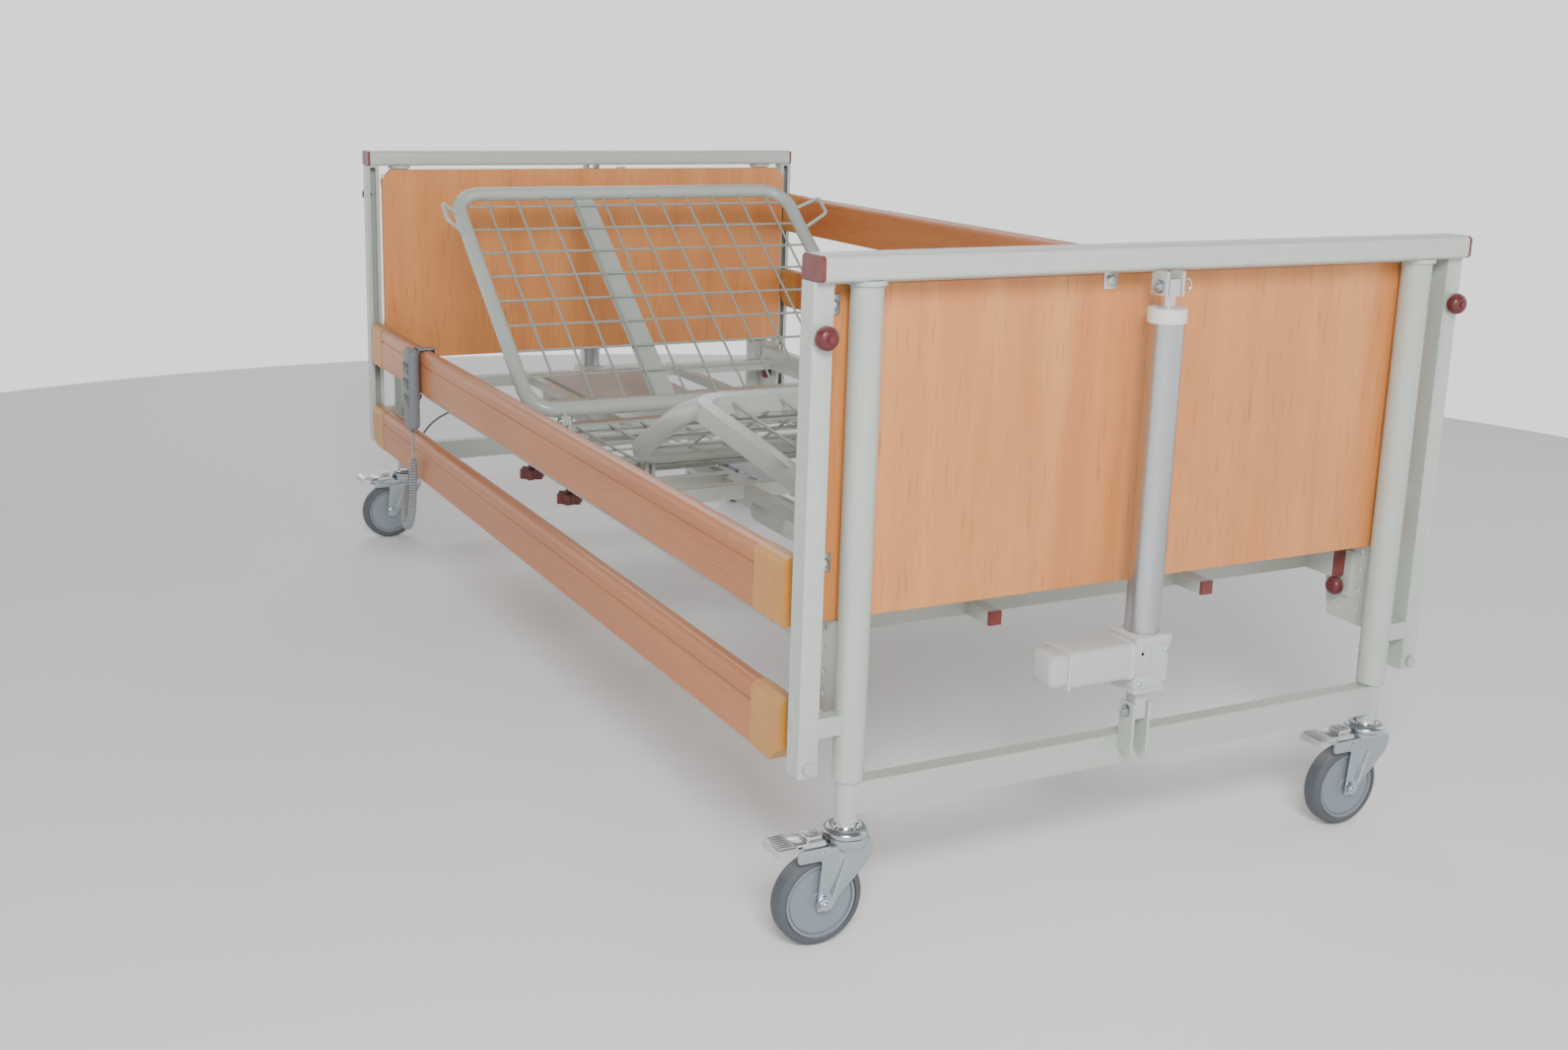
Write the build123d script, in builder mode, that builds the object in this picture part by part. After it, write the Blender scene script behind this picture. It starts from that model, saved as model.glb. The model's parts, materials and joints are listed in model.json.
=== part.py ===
"""Adjustable hospital bed: two lifting end frames on castors, a tube deck with a raised
backrest, thigh and calf sections, and wooden side rails that slide in guide channels.

Millimetres. X runs across the bed, Y along it (foot end at -Y), Z up from the floor.
"""
import os
from math import cos, radians, sin, sqrt, tan

from build123d import *

os.makedirs("parts", exist_ok=True)

# ---- driving dimensions -------------------------------------------------------------
LEG_X = 457.0            # leg axis from the bed's centre line
LEG_Y = 1050.0           # leg axis from the middle of the bed's length
LEG_OD = 42.0            # outer leg tube
LEG_WALL = 3.0
INNER_OD = 32.0          # inner leg tube, which the outer one slides on
INNER_WALL = 3.0
LEG_LOW = 222.0          # lower end of the outer leg tube
INNER_TOP = 760.0        # upper end of the inner tube, with the bed right down
RAIL_LOW = 866.0         # underside of the top rail
RAIL_HEIGHT = 32.0
RAIL_DEPTH = 52.0
BEAM_LOW = 176.0         # cross beam between the inner tubes
BEAM_HEIGHT = 44.0
BEAM_DEPTH = 25.0
TUBE_WALL = 2.5          # wall of every square or flat tube

RUNNING_GAP = 0.1        # radial gap of a pin, bush or stem that turns or slides
LOOSE_GAP = 0.4          # gap between pieces of different bodies that only pass each other

WHEEL_R = 62.5
WHEEL_WIDTH = 30.0
TYRE_DEPTH = 10.0
CASTOR_TRAIL = 40.0
CASTOR_TOP = 163.0       # shoulder that the inner tube stands on
AXLE_D = 12.0
STEM_D = 11.0
FORK_PLATE = 3.0

PANEL_HALF = LEG_X + 48.0            # end panel, which stops short of the channels
PANEL_LOW = 430.0
PANEL_TOP = 858.0
PANEL_THICK = 18.0
PANEL_CORNER = 20.0

CHANNEL_X = LEG_X + 65.0 # guide channel of the side rails
CHANNEL_WIDTH = 28.0
CHANNEL_DEPTH = 30.0
CHANNEL_LOW = 236.0
CHANNEL_WALL = 2.5
CHANNEL_SLOT = 12.0
LINK_Z = 300.0           # short square tube from the channel to the leg
KNOB_Z = 800.0           # release knob of the side rail
RAIL_HALF = CHANNEL_X + 6.5          # half the top rail's length, without its end caps

DECK_X = LEG_X - 19.0    # inner face of the deck's side tube
DECK_WIDTH = 25.0
DECK_LOW = 368.0
DECK_HEIGHT = 50.0
DECK_HALF = LEG_Y - 80.0
DECK_SPLIT = 80.0        # where the deck's two halves meet
CROSS = 25.0             # square cross tubes
SPINE = 20.0             # square tubes along the middle
SPINE_X = 187.0

BACK_Y, BACK_Z = 295.0, 415.0        # backrest hinge
BACK_ANGLE = 37.6
BACK_LENGTH = 660.0
BACK_HALF = 401.0
BACK_TUBE = 30.0
BACK_CORNER = 60.0                   # bend radius of the frame tube's centre line
THIGH_Y, THIGH_Z = -120.0, 430.0     # thigh hinge
THIGH_ANGLE = 29.0
THIGH_LENGTH = 340.0
THIGH_HALF = 384.0
THIGH_TUBE = 35.0
THIGH_CORNER = 70.0
CALF_ANGLE = 7.0                     # falls towards the foot end
CALF_LENGTH = 530.0
CALF_HALF = 400.0
CALF_WIDTH = 22.0
CALF_HEIGHT = 30.0
HINGE_PIN = 12.0
LUG = 6.0                            # thickness of hinge lugs and ears
EAR_R = 11.0
HINGE_X = 340.0                      # lugs from the centre line
FRAME_SET = 30.0                     # tube centre from its hinge axis

WIRE = 5.0
WIRE_PITCH_X = 68.0
WIRE_PITCH_Y = 71.2
WIRE_SHIFT = 7.0
STRIP_X = -105.0                     # flat strip up the middle of the backrest
STRIP_WIDTH = 50.0

SIDE_RAIL_HEIGHT = 90.0
SIDE_RAIL_THICK = 30.0
SIDE_RAIL_HALF = LEG_Y - 120.0
RAIL_CAP = 80.0
CAP_PROUD = 1.0                      # the cap stands this far out from the plank's faces
NEAR_LOW = 235.0                     # lower rail of the lowered side
FAR_LOW = 515.0                      # lower rail of the raised side
RAIL_SPACING = 188.0

ACTUATOR_X = -19.0                   # lifting column in each end frame
ACTUATOR_Y = LEG_Y + 30.0
ACTUATOR_OD = 48.0
ACTUATOR_ROD = 20.0
ACTUATOR_LOW = 374.0
ACTUATOR_TOP = 810.0

DRIVE_Z = 305.0                      # axis height of the two deck actuators
DRIVE_D = 50.0
DRIVE_ROD = 20.0
DRIVE_PIN = 12.0
SLOT_SLACK = 3.2                     # pin to slot wall in the drive levers
LEVER_THICK = 8.0
LEVER_HALF = 20.0
BACK_DRIVE_X = -60.0
LEG_DRIVE_X = 60.0
BACK_MID_ANGLE = 35.0                # section angle at which its lever hangs straight down
THIGH_MID_ANGLE = 19.5

HANDSET_Y = 634.0
HANDSET_WIDTH = 53.0
HANDSET_THICK = 24.0
HANDSET_LOW = 348.0
HANDSET_HEIGHT = 170.0
ROCKER_WIDTH = 34.0
ROCKER_HEIGHT = 20.0
ROCKER_PROUD = 2.0

BOX_X = (-165.0, 80.0)               # control box
BOX_Y = (620.0, 920.0)
BOX_Z = (322.0, 392.0)

CORD_D = 5.0
CURL_D = 17.0
GLAND_LENGTH = 22.0

SIDE_RAIL_IN = CHANNEL_X - 14.0                       # inner face of the side rails
SIDE_RAIL_OUT = SIDE_RAIL_IN + SIDE_RAIL_THICK
HANDSET_GAP = 3.0                                     # handset back to rail, held by the hook
HANDSET_X = -(SIDE_RAIL_OUT + HANDSET_GAP + HANDSET_THICK)
# the handset makes the bed wider on one side, so all pieces shift to centre the whole box
CENTRE_SHIFT = -(HANDSET_X - ROCKER_PROUD + SIDE_RAIL_OUT + CAP_PROUD) / 2
DECK_TOP = DECK_LOW + DECK_HEIGHT
RAIL_TOP = RAIL_LOW + RAIL_HEIGHT
SIDES = (-1, 1)
CASTORS = {"foot_near": (-1, -1), "foot_far": (1, -1), "head_near": (-1, 1), "head_far": (1, 1)}


# ---- helpers ------------------------------------------------------------------------
def write(piece, node):
    """Label a finished piece and write it, shifted with the whole bed."""
    piece.part.move(Location((CENTRE_SHIFT, 0, 0)))
    piece.part.label = node
    export_step(piece.part, f"parts/{node}.step")


def write_both_ends(piece, name):
    """Write a foot-end piece and its twin, turned half a turn about the bed's middle."""
    with BuildPart() as twin:
        add(piece.part, rotation=(0, 0, 180))
    write(piece, f"foot_{name}")
    write(twin, f"head_{name}")


def block(x, y, z, mode=Mode.ADD):
    """A box that fills the given X, Y and Z ranges."""
    low = [min(r) for r in (x, y, z)]
    size = [max(r) - min(r) for r in (x, y, z)]
    with Locations(tuple(low)):
        Box(*size, align=(Align.MIN, Align.MIN, Align.MIN), mode=mode)


def bar(start, end, diameter, mode=Mode.ADD):
    """A round bar between two points."""
    run = Vector(*end) - Vector(*start)
    with Locations(Plane(origin=start, z_dir=run).location):
        Cylinder(diameter / 2, run.length, align=(Align.CENTER, Align.CENTER, Align.MIN), mode=mode)


def dome(start, end, radius, height):
    """A round head with a domed top, standing on a point."""
    run = Vector(*end) - Vector(*start)
    with Locations(Plane(origin=start, z_dir=run).location):
        Cylinder(radius, height, align=(Align.CENTER, Align.CENTER, Align.MIN))
    rim = edges(Select.LAST).filter_by(GeomType.CIRCLE).sort_by(Axis(start, tuple(run)))[-1]
    fillet(rim, height * 0.7)


def hexagon_head(start, end, across_flats):
    """A hexagonal bolt head or nut between two points."""
    run = Vector(*end) - Vector(*start)
    with BuildSketch(Plane(origin=start, z_dir=run)) as outline:
        RegularPolygon(across_flats / 2, 6, major_radius=False)
    extrude(outline.sketch, amount=run.length)


def welded_tubes(tubes):
    """Square or flat tubes as one frame: all their outsides first, then their insides."""
    for spans in tubes:
        block(*spans)
    for spans in tubes:
        lengths = [max(span) - min(span) for span in spans]
        inner = []
        for span, length in zip(spans, lengths):
            wall = 1.0 if length == max(lengths) else TUBE_WALL
            inner.append((min(span) + wall, max(span) - wall))
        block(*inner, mode=Mode.SUBTRACT)


def swept(path, diameter, wall=0.0):
    """A round bar or tube along a path."""
    with BuildSketch(Plane(origin=path @ 0, z_dir=path % 0)) as section:
        Circle(diameter / 2)
        if wall:
            Circle(diameter / 2 - wall, mode=Mode.SUBTRACT)
    sweep(section.sketch, path=path)


def tilted(y, z, angle, towards):
    """The plane of a deck section: its local Y runs up the section from the hinge."""
    a = radians(angle)
    return Plane(origin=(0, y, z), x_dir=(towards, 0, 0), z_dir=(0, -towards * sin(a), cos(a)))


# ---- castors ------------------------------------------------------------------------
AXLE_Z = WHEEL_R
CHEEK_IN = WHEEL_WIDTH / 2 + 3.0
CHEEK_OUT = CHEEK_IN + FORK_PLATE
CROWN_LOW = 123.0        # lower edge of the brake housing
CROWN_TOP = 141.0
CROWN_BACK = -79.0       # end of the brake housing, from the swivel axis
HEAD_R = 31.5
STEM_NUT_TOP = CROWN_TOP - FORK_PLATE - LOOSE_GAP
PEDAL_PIN_X = -43.0      # brake pedal hinge, from the swivel axis
PEDAL_PIN_Z = 133.0
PEDAL_PIN_D = 6.0
PEDAL_LOW = 145.0        # underside of the pedal's plate
PEDAL_PLATE = 4.0
PEDAL_END = -109.0
PEDAL_SLIM = CHEEK_IN - 1.5     # half width between the housing's cheeks
PEDAL_WIDE = 22.5               # half width beyond them

for place, (side, end) in CASTORS.items():
    sx, sy = side * LEG_X, end * LEG_Y
    ax = sx - CASTOR_TRAIL
    pin_x = sx + PEDAL_PIN_X
    with BuildPart() as fork:
        for face in (-CHEEK_OUT, CHEEK_IN):
            with BuildSketch(Plane.XZ.offset(-(sy + face))) as cheek:
                with BuildLine():
                    Polyline((sx + HEAD_R, CROWN_TOP), (sx + CROWN_BACK, CROWN_TOP),
                             (sx + CROWN_BACK, CROWN_LOW), (ax - 4, CROWN_LOW), (ax - 10, AXLE_Z - 11),
                             (ax + 12, AXLE_Z - 11), (ax + 22, AXLE_Z + 6), (sx + HEAD_R - 5, 112),
                             (sx + HEAD_R, 124), close=True)
                make_face()
            extrude(amount=-FORK_PLATE)
        block((sx - 34, sx + 20), (sy - CHEEK_OUT, sy + CHEEK_OUT), (CROWN_TOP - FORK_PLATE, CROWN_TOP))
        # swivel head: the ball race's two shells and the hub that carries the stem
        with Locations((sx, sy, CROWN_TOP - FORK_PLATE)):
            Cylinder(HEAD_R, FORK_PLATE + 11, align=(Align.CENTER, Align.CENTER, Align.MIN))
        with Locations((sx, sy, CROWN_TOP + 11)):
            Cone(HEAD_R - 3, 19, 7, align=(Align.CENTER, Align.CENTER, Align.MIN))
        bar((sx, sy, CROWN_TOP + 16), (sx, sy, CASTOR_TOP - LOOSE_GAP), 26)
        bar((sx, sy, CROWN_LOW), (sx, sy, CASTOR_TOP), STEM_D + 2 * RUNNING_GAP, Mode.SUBTRACT)
        bar((pin_x, sy - CHEEK_OUT - 2, PEDAL_PIN_Z), (pin_x, sy + CHEEK_OUT + 2, PEDAL_PIN_Z),
            PEDAL_PIN_D)
        # axle, riveted in both cheeks, with its head and nut
        bar((ax, sy - CHEEK_OUT, AXLE_Z), (ax, sy + CHEEK_OUT, AXLE_Z), AXLE_D)
        hexagon_head((ax, sy - CHEEK_OUT - 6, AXLE_Z), (ax, sy - CHEEK_OUT, AXLE_Z), 17)
        hexagon_head((ax, sy + CHEEK_OUT, AXLE_Z), (ax, sy + CHEEK_OUT + 6, AXLE_Z), 17)
    write(fork, f"castor_fork_{place}")

    with BuildPart() as wheel:
        with BuildSketch() as profile:
            with Locations(((WHEEL_R + AXLE_D / 2 + RUNNING_GAP) / 2, 0)):
                Rectangle(WHEEL_R - AXLE_D / 2 - RUNNING_GAP, WHEEL_WIDTH)
            fillet(profile.vertices().sort_by(Axis.X)[-2:], 9)
            # the groove between the tyre and the wheel's core, on both faces
            for face in SIDES:
                with Locations((WHEEL_R - TYRE_DEPTH, face * WHEEL_WIDTH / 2)):
                    Rectangle(4, 4, mode=Mode.SUBTRACT)
        revolve(axis=Axis.Y)
        wheel.part.move(Location((ax, sy, AXLE_Z)))
    write(wheel, f"castor_wheel_{place}")

    with BuildPart() as pedal:
        plate_z = (PEDAL_LOW, PEDAL_LOW + PEDAL_PLATE)
        block((sx + PEDAL_END, sx + CROWN_BACK - 1), (sy - PEDAL_WIDE, sy + PEDAL_WIDE), plate_z)
        block((sx + CROWN_BACK - 2, pin_x + 5), (sy - PEDAL_SLIM, sy + PEDAL_SLIM), plate_z)
        # brake shoe over the wheel, and the two webs on the hinge pin
        block((pin_x - 19, pin_x - 13), (sy - 10, sy + 10), (AXLE_Z + WHEEL_R + 2, PEDAL_LOW + 1))
        for face in SIDES:
            block((pin_x - 13, pin_x + 7), (sy + face * (PEDAL_SLIM - 3), sy + face * PEDAL_SLIM),
                  (PEDAL_PIN_Z - 5, PEDAL_LOW + 1))
        bar((pin_x, sy - PEDAL_SLIM, PEDAL_PIN_Z), (pin_x, sy + PEDAL_SLIM, PEDAL_PIN_Z),
            PEDAL_PIN_D + 2 * RUNNING_GAP, Mode.SUBTRACT)
    write(pedal, f"castor_brake_{place}")


# ---- lifting bases ------------------------------------------------------------------
CLEVIS_GAP = 22.0        # between a clevis's two ears
EAR = 4.0
CLEVIS_PIN = 10.0
BASE_PIN_Z = 261.0
MOTOR_END = -187.0
ROD_PIN_Z = 846.0
clevis_half = CLEVIS_GAP / 2

with BuildPart() as base_frame:
    beam_front = -LEG_Y - 15.0
    block((-LEG_X, LEG_X), (beam_front, beam_front + BEAM_DEPTH), (BEAM_LOW, BEAM_LOW + BEAM_HEIGHT))
    block((-LEG_X, LEG_X), (beam_front + TUBE_WALL, beam_front + BEAM_DEPTH - TUBE_WALL),
          (BEAM_LOW + TUBE_WALL, BEAM_LOW + BEAM_HEIGHT - TUBE_WALL), Mode.SUBTRACT)
    for side in SIDES:
        foot = (side * LEG_X, -LEG_Y)
        bar((*foot, CASTOR_TOP), (*foot, INNER_TOP), INNER_OD)
        bar((*foot, BEAM_LOW + BEAM_HEIGHT + 12), (*foot, INNER_TOP + 1), INNER_OD - 2 * INNER_WALL,
            Mode.SUBTRACT)
        bar((*foot, STEM_NUT_TOP - 6), (*foot, CASTOR_TOP + 1), STEM_D)
        bar((*foot, STEM_NUT_TOP - 6), (*foot, STEM_NUT_TOP), STEM_D + 7)
        ear_x = ACTUATOR_X + side * (clevis_half + EAR / 2)
        block((ear_x - EAR / 2, ear_x + EAR / 2), (-ACTUATOR_Y - 14, beam_front),
              (BEAM_LOW + 24, BASE_PIN_Z + 12))
    bar((ACTUATOR_X - 20, -ACTUATOR_Y, BASE_PIN_Z), (ACTUATOR_X + 20, -ACTUATOR_Y, BASE_PIN_Z),
        CLEVIS_PIN + 2 * RUNNING_GAP, Mode.SUBTRACT)
write_both_ends(base_frame, "base_frame")

with BuildPart() as housing:
    centre = (ACTUATOR_X, -ACTUATOR_Y)
    block((centre[0] - 29, centre[0] + 29), (centre[1] - 29, centre[1] + 29), (298, ACTUATOR_LOW))
    fillet(housing.edges().filter_by(Axis.Z), 8)
    block((centre[0] - 10, centre[0] + 10), (centre[1] - 12, centre[1] + 12), (BASE_PIN_Z - 12, 300))
    bar((centre[0] - 20, centre[1], BASE_PIN_Z), (centre[0] + 20, centre[1], BASE_PIN_Z), CLEVIS_PIN)
    # the motor's case, which lies along the beam
    with BuildPart() as motor:
        block((MOTOR_END, centre[0]), (centre[1] - 31, centre[1] + 25), (ACTUATOR_LOW - 57, ACTUATOR_LOW - 5))
        fillet(motor.edges().filter_by(Axis.X), 10)
        fillet(motor.faces().sort_by(Axis.X)[0].edges(), 6)
    add(motor.part)
write_both_ends(housing, "actuator_housing")

with BuildPart() as column:
    bar((*centre, ACTUATOR_LOW), (*centre, ACTUATOR_TOP), ACTUATOR_OD)
    bar((*centre, ACTUATOR_TOP), (*centre, ACTUATOR_TOP + 8), ACTUATOR_OD + 4)
    bar((*centre, ACTUATOR_LOW + 4), (*centre, ACTUATOR_TOP - 12), ACTUATOR_OD - 6, Mode.SUBTRACT)
    bar((*centre, ACTUATOR_TOP - 20), (*centre, ACTUATOR_TOP + 9),
        ACTUATOR_ROD + 2 * RUNNING_GAP, Mode.SUBTRACT)
write_both_ends(column, "actuator_tube")

with BuildPart() as lift_rod:
    bar((*centre, ACTUATOR_LOW + 8), (*centre, ROD_PIN_Z - 8), ACTUATOR_ROD)
    block((centre[0] - 9, centre[0] + 9), (centre[1] - 11, centre[1] + 11),
          (ROD_PIN_Z - 12, ROD_PIN_Z + 10))
    bar((centre[0] - 20, centre[1], ROD_PIN_Z), (centre[0] + 20, centre[1], ROD_PIN_Z), CLEVIS_PIN)
    # spring ring that keeps the pin in
    with Locations(Plane(origin=(centre[0] + 27, centre[1], ROD_PIN_Z), z_dir=(0, 1, 0)).location):
        Torus(9, 1.2)
write_both_ends(lift_rod, "actuator_rod")


# ---- end frames ---------------------------------------------------------------------
WING_IN = DECK_X + DECK_WIDTH      # wing plate's face against the deck's side tube
WING_OUT = WING_IN + 6.0
WING_Z = (297.0, 428.0)
WING_END = -DECK_HALF + 45.0
CLAMP_Y = -DECK_HALF + 2.0
CLAMP_Z = 352.0
CLAMP_D = 8.0
TONGUE = 5.0             # plate on the deck tube that is clamped to the wing plate
TONGUE_Y = (CLAMP_Y - 20.0, CLAMP_Y + 22.0)
TONGUE_Z = (338.0, 410.0)
channel_front = -LEG_Y - 10.0
channel_back = channel_front + CHANNEL_DEPTH

with BuildPart() as end_frame:
    half_depth = RAIL_DEPTH / 2
    block((-RAIL_HALF, RAIL_HALF), (-LEG_Y - half_depth, -LEG_Y + half_depth), (RAIL_LOW, RAIL_TOP))
    fillet(end_frame.edges().filter_by(Axis.X), 7)
    block((-RAIL_HALF - 1, RAIL_HALF + 1), (-LEG_Y - half_depth + 3, -LEG_Y + half_depth - 3),
          (RAIL_LOW + 3, RAIL_TOP - 3), Mode.SUBTRACT)
    for side in SIDES:
        leg = (side * LEG_X, -LEG_Y)
        bar((*leg, LEG_LOW), (*leg, RAIL_LOW), LEG_OD)
        bar((*leg, RAIL_LOW - 6), (*leg, RAIL_LOW), LEG_OD + 8)
        x = side * CHANNEL_X
        block((x - CHANNEL_WIDTH / 2, x + CHANNEL_WIDTH / 2), (channel_front, channel_back),
              (CHANNEL_LOW, RAIL_LOW))
        block((side * (LEG_X + 12), side * (CHANNEL_X - CHANNEL_WIDTH / 2 + 1)),
              (-LEG_Y - 10, -LEG_Y + 10), (LINK_Z - 13, LINK_Z + 13))
        with BuildSketch(Plane.YZ.offset(side * WING_IN)) as wing:
            with BuildLine():
                Polyline((-LEG_Y, WING_Z[1]), (WING_END, WING_Z[1]), (WING_END - 18, WING_Z[0]),
                         (-LEG_Y, WING_Z[0]), close=True)
            make_face()
            holes = [(CLAMP_Y - 32, z) for z in (412, 384, 352, 322)] + [(CLAMP_Y + 2, 318)]
            with Locations(*holes):
                Circle(4.5, mode=Mode.SUBTRACT)
            with Locations((CLAMP_Y, CLAMP_Z)):
                Circle(CLAMP_D / 2 + RUNNING_GAP, mode=Mode.SUBTRACT)
        extrude(amount=side * (WING_OUT - WING_IN))
        ear_x = ACTUATOR_X + side * (clevis_half + EAR / 2)
        block((ear_x - EAR / 2, ear_x + EAR / 2), (-ACTUATOR_Y - 12, -LEG_Y - 12),
              (ROD_PIN_Z - 12, RAIL_LOW))
    for side in SIDES:
        leg = (side * LEG_X, -LEG_Y)
        x = side * CHANNEL_X
        bar((*leg, LEG_LOW - 1), (*leg, RAIL_LOW - 20), LEG_OD - 2 * LEG_WALL, Mode.SUBTRACT)
        block((x - CHANNEL_WIDTH / 2 + CHANNEL_WALL, x + CHANNEL_WIDTH / 2 - CHANNEL_WALL),
              (channel_front + CHANNEL_WALL, channel_back - CHANNEL_WALL),
              (CHANNEL_LOW - 1, RAIL_LOW - 4), Mode.SUBTRACT)
        block((x - CHANNEL_SLOT / 2, x + CHANNEL_SLOT / 2), (channel_back - CHANNEL_WALL - 1, channel_back + 1),
              (CHANNEL_LOW - 1, RAIL_LOW - 4), Mode.SUBTRACT)
        bar((x, channel_front - 1, KNOB_Z), (x, channel_front + CHANNEL_WALL + 1, KNOB_Z),
            8 + 2 * RUNNING_GAP, Mode.SUBTRACT)
    bar((ACTUATOR_X - 20, -ACTUATOR_Y, ROD_PIN_Z), (ACTUATOR_X + 20, -ACTUATOR_Y, ROD_PIN_Z),
        CLEVIS_PIN + 2 * RUNNING_GAP, Mode.SUBTRACT)
write_both_ends(end_frame, "end_frame")

BUSH_LENGTH = 30.0
with BuildPart() as bushes:
    for side in SIDES:
        for end in SIDES:
            leg = (side * LEG_X, end * LEG_Y)
            bar((*leg, LEG_LOW), (*leg, LEG_LOW + BUSH_LENGTH), LEG_OD - 2 * LEG_WALL)
    for side in SIDES:
        for end in SIDES:
            leg = (side * LEG_X, end * LEG_Y)
            bar((*leg, LEG_LOW - 1), (*leg, LEG_LOW + BUSH_LENGTH + 1), INNER_OD + 2 * RUNNING_GAP,
                Mode.SUBTRACT)
write(bushes, "leg_bushes")

panel_face = -LEG_Y + LEG_OD / 2 + 1.0
with BuildPart() as panel:
    with BuildSketch(Plane.XZ.offset(-panel_face)) as outline:
        with Locations((0, (PANEL_LOW + PANEL_TOP) / 2)):
            Rectangle(2 * PANEL_HALF, PANEL_TOP - PANEL_LOW)
        chamfer(outline.vertices().group_by(Axis.Y)[-1], PANEL_CORNER)
        fillet(outline.vertices().group_by(Axis.Y)[0], 6)
    extrude(amount=-PANEL_THICK)
    fillet(panel.edges().filter_by(Axis.X), 2)
write_both_ends(panel, "panel")

with BuildPart() as fittings:
    spots = [(side * (PANEL_HALF - 11), z) for side in SIDES for z in (834.0, 509.0)] + [(-76.0, 850.0)]
    for end in SIDES:
        for x, z in spots:
            face = end * (LEG_Y - LEG_OD / 2 - 1.0)
            px = -end * x
            block((px - 11, px + 11), (face, face + end * 3), (z - 12, z + 12))
            dome((px, face + end * 3, z), (px, face + end * 9, z), 7, 5)
        for side in SIDES:
            channel = end * (LEG_Y + 10.0)
            px = side * CHANNEL_X
            hexagon_head((px, channel, 250), (px, channel + end * 7, 250), 15)
write(fittings, "panel_fittings")

with BuildPart() as caps:
    # top rail ends
    for side in SIDES:
        for end in SIDES:
            y = end * LEG_Y
            block((side * RAIL_HALF, side * (RAIL_HALF + 5)), (y - 26, y + 26), (RAIL_LOW, RAIL_TOP))
            rim = caps.edges(Select.LAST).filter_by(Axis.X)
            fillet(rim, 7)
            # deck side tube ends and the two stub tubes
            block((side * (DECK_X + 0.5), side * (WING_IN - TONGUE - 0.2)),
                  (end * DECK_HALF, end * (DECK_HALF + 5)), (DECK_LOW + 0.5, DECK_TOP - 0.5))
            block((side * (SPINE_X - SPINE / 2), side * (SPINE_X + SPINE / 2)),
                  (end * DECK_HALF, end * (DECK_HALF + 5)), (DECK_LOW + 2, DECK_LOW + 2 + SPINE))
write(caps, "tube_end_caps")


# ---- side rail knobs ----------------------------------------------------------------
for place, (side, end) in CASTORS.items():
    x, wall = side * CHANNEL_X, end * (LEG_Y + 10.0)
    with BuildPart() as knob:
        bar((x, wall - end * CHANNEL_WALL, KNOB_Z), (x, wall + end * 8, KNOB_Z), 8)
        bar((x, wall + end * 0.5, KNOB_Z), (x, wall + end * 8, KNOB_Z), 16)
        dome((x, wall + end * 8, KNOB_Z), (x, wall + end * 22, KNOB_Z), 15, 14)
        bar((x, wall + end * 22, KNOB_Z), (x, wall + end * 24, KNOB_Z), 9)
    write(knob, f"rail_knob_{place}")


# ---- deck ---------------------------------------------------------------------------
SPINE_Z = (DECK_LOW + 2, DECK_LOW + 2 + SPINE)
CARRIER_Z = (DECK_LOW, DECK_LOW + CROSS)
SEAT_BAR_Z = (396.0, 404.0)
FOOT_CARRIER = -202.5   # cross tubes that the two actuators hang from
HEAD_CARRIER = 372.5
EAR_GAP = LUG + 2 * LOOSE_GAP


def cross_tube(y, x_in=0.0):
    """The spans of a square cross tube, whole, or in two halves that leave the middle free."""
    widths = ((-DECK_X, DECK_X),) if x_in == 0 else ((-DECK_X, -x_in), (x_in, DECK_X))
    return [(width, (y - CROSS / 2, y + CROSS / 2), CARRIER_Z) for width in widths]


def hinge_ears(y, z, low):
    """Two pairs of ears that hold a section's hinge pins."""
    for side in SIDES:
        for face in SIDES:
            x = side * HINGE_X + face * (EAR_GAP / 2 + LUG / 2)
            block((x - LUG / 2, x + LUG / 2), (y - EAR_R, y + EAR_R), (low, z))
            bar((x - LUG / 2, y, z), (x + LUG / 2, y, z), 2 * EAR_R)
        bar((side * HINGE_X - 20, y, z), (side * HINGE_X + 20, y, z), HINGE_PIN + 0.02, Mode.SUBTRACT)


def deck_half(start, end, tongue, clamp_y, cross_tubes):
    """One half of the deck: side, middle and cross tubes, and the tongues at its outer end."""
    tubes = []
    for side in SIDES:
        tubes.append(((side * DECK_X, side * (DECK_X + DECK_WIDTH)), (start, end), (DECK_LOW, DECK_TOP)))
        tubes.append(((side * (SPINE_X - SPINE / 2), side * (SPINE_X + SPINE / 2)), (start, end), SPINE_Z))
    for spans in cross_tubes:
        tubes.extend(spans)
    welded_tubes(tubes)
    for side in SIDES:
        # tongue that is clamped to the end frame's wing plate
        block((side * (WING_IN - TONGUE), side * WING_IN), tongue, TONGUE_Z)
        bar((side * (WING_IN - TONGUE - 1), clamp_y, CLAMP_Z), (side * (WING_IN + 1), clamp_y, CLAMP_Z),
            CLAMP_D + 2 * RUNNING_GAP, Mode.SUBTRACT)


with BuildPart() as deck_foot:
    deck_half(-DECK_HALF, DECK_SPLIT, TONGUE_Y, CLAMP_Y,
              [cross_tube(-902.5), cross_tube(FOOT_CARRIER), cross_tube(THIGH_Y, SPINE_X),
               cross_tube(40.0, SPINE_X)])
    block((-DECK_X, DECK_X), (-75, -55), SEAT_BAR_Z)
    hinge_ears(THIGH_Y, THIGH_Z, DECK_LOW + CROSS - 1)
write(deck_foot, "deck_frame_foot")

with BuildPart() as deck_head:
    deck_half(DECK_SPLIT, DECK_HALF, [-y for y in TONGUE_Y], -CLAMP_Y,
              [cross_tube(BACK_Y, SPINE_X), cross_tube(HEAD_CARRIER), cross_tube(606.0),
               cross_tube(934.0)])
    block((-DECK_X, DECK_X), (222, 242), SEAT_BAR_Z)
    hinge_ears(BACK_Y, BACK_Z, DECK_LOW + CROSS - 1)
write(deck_head, "deck_frame_head")

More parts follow.
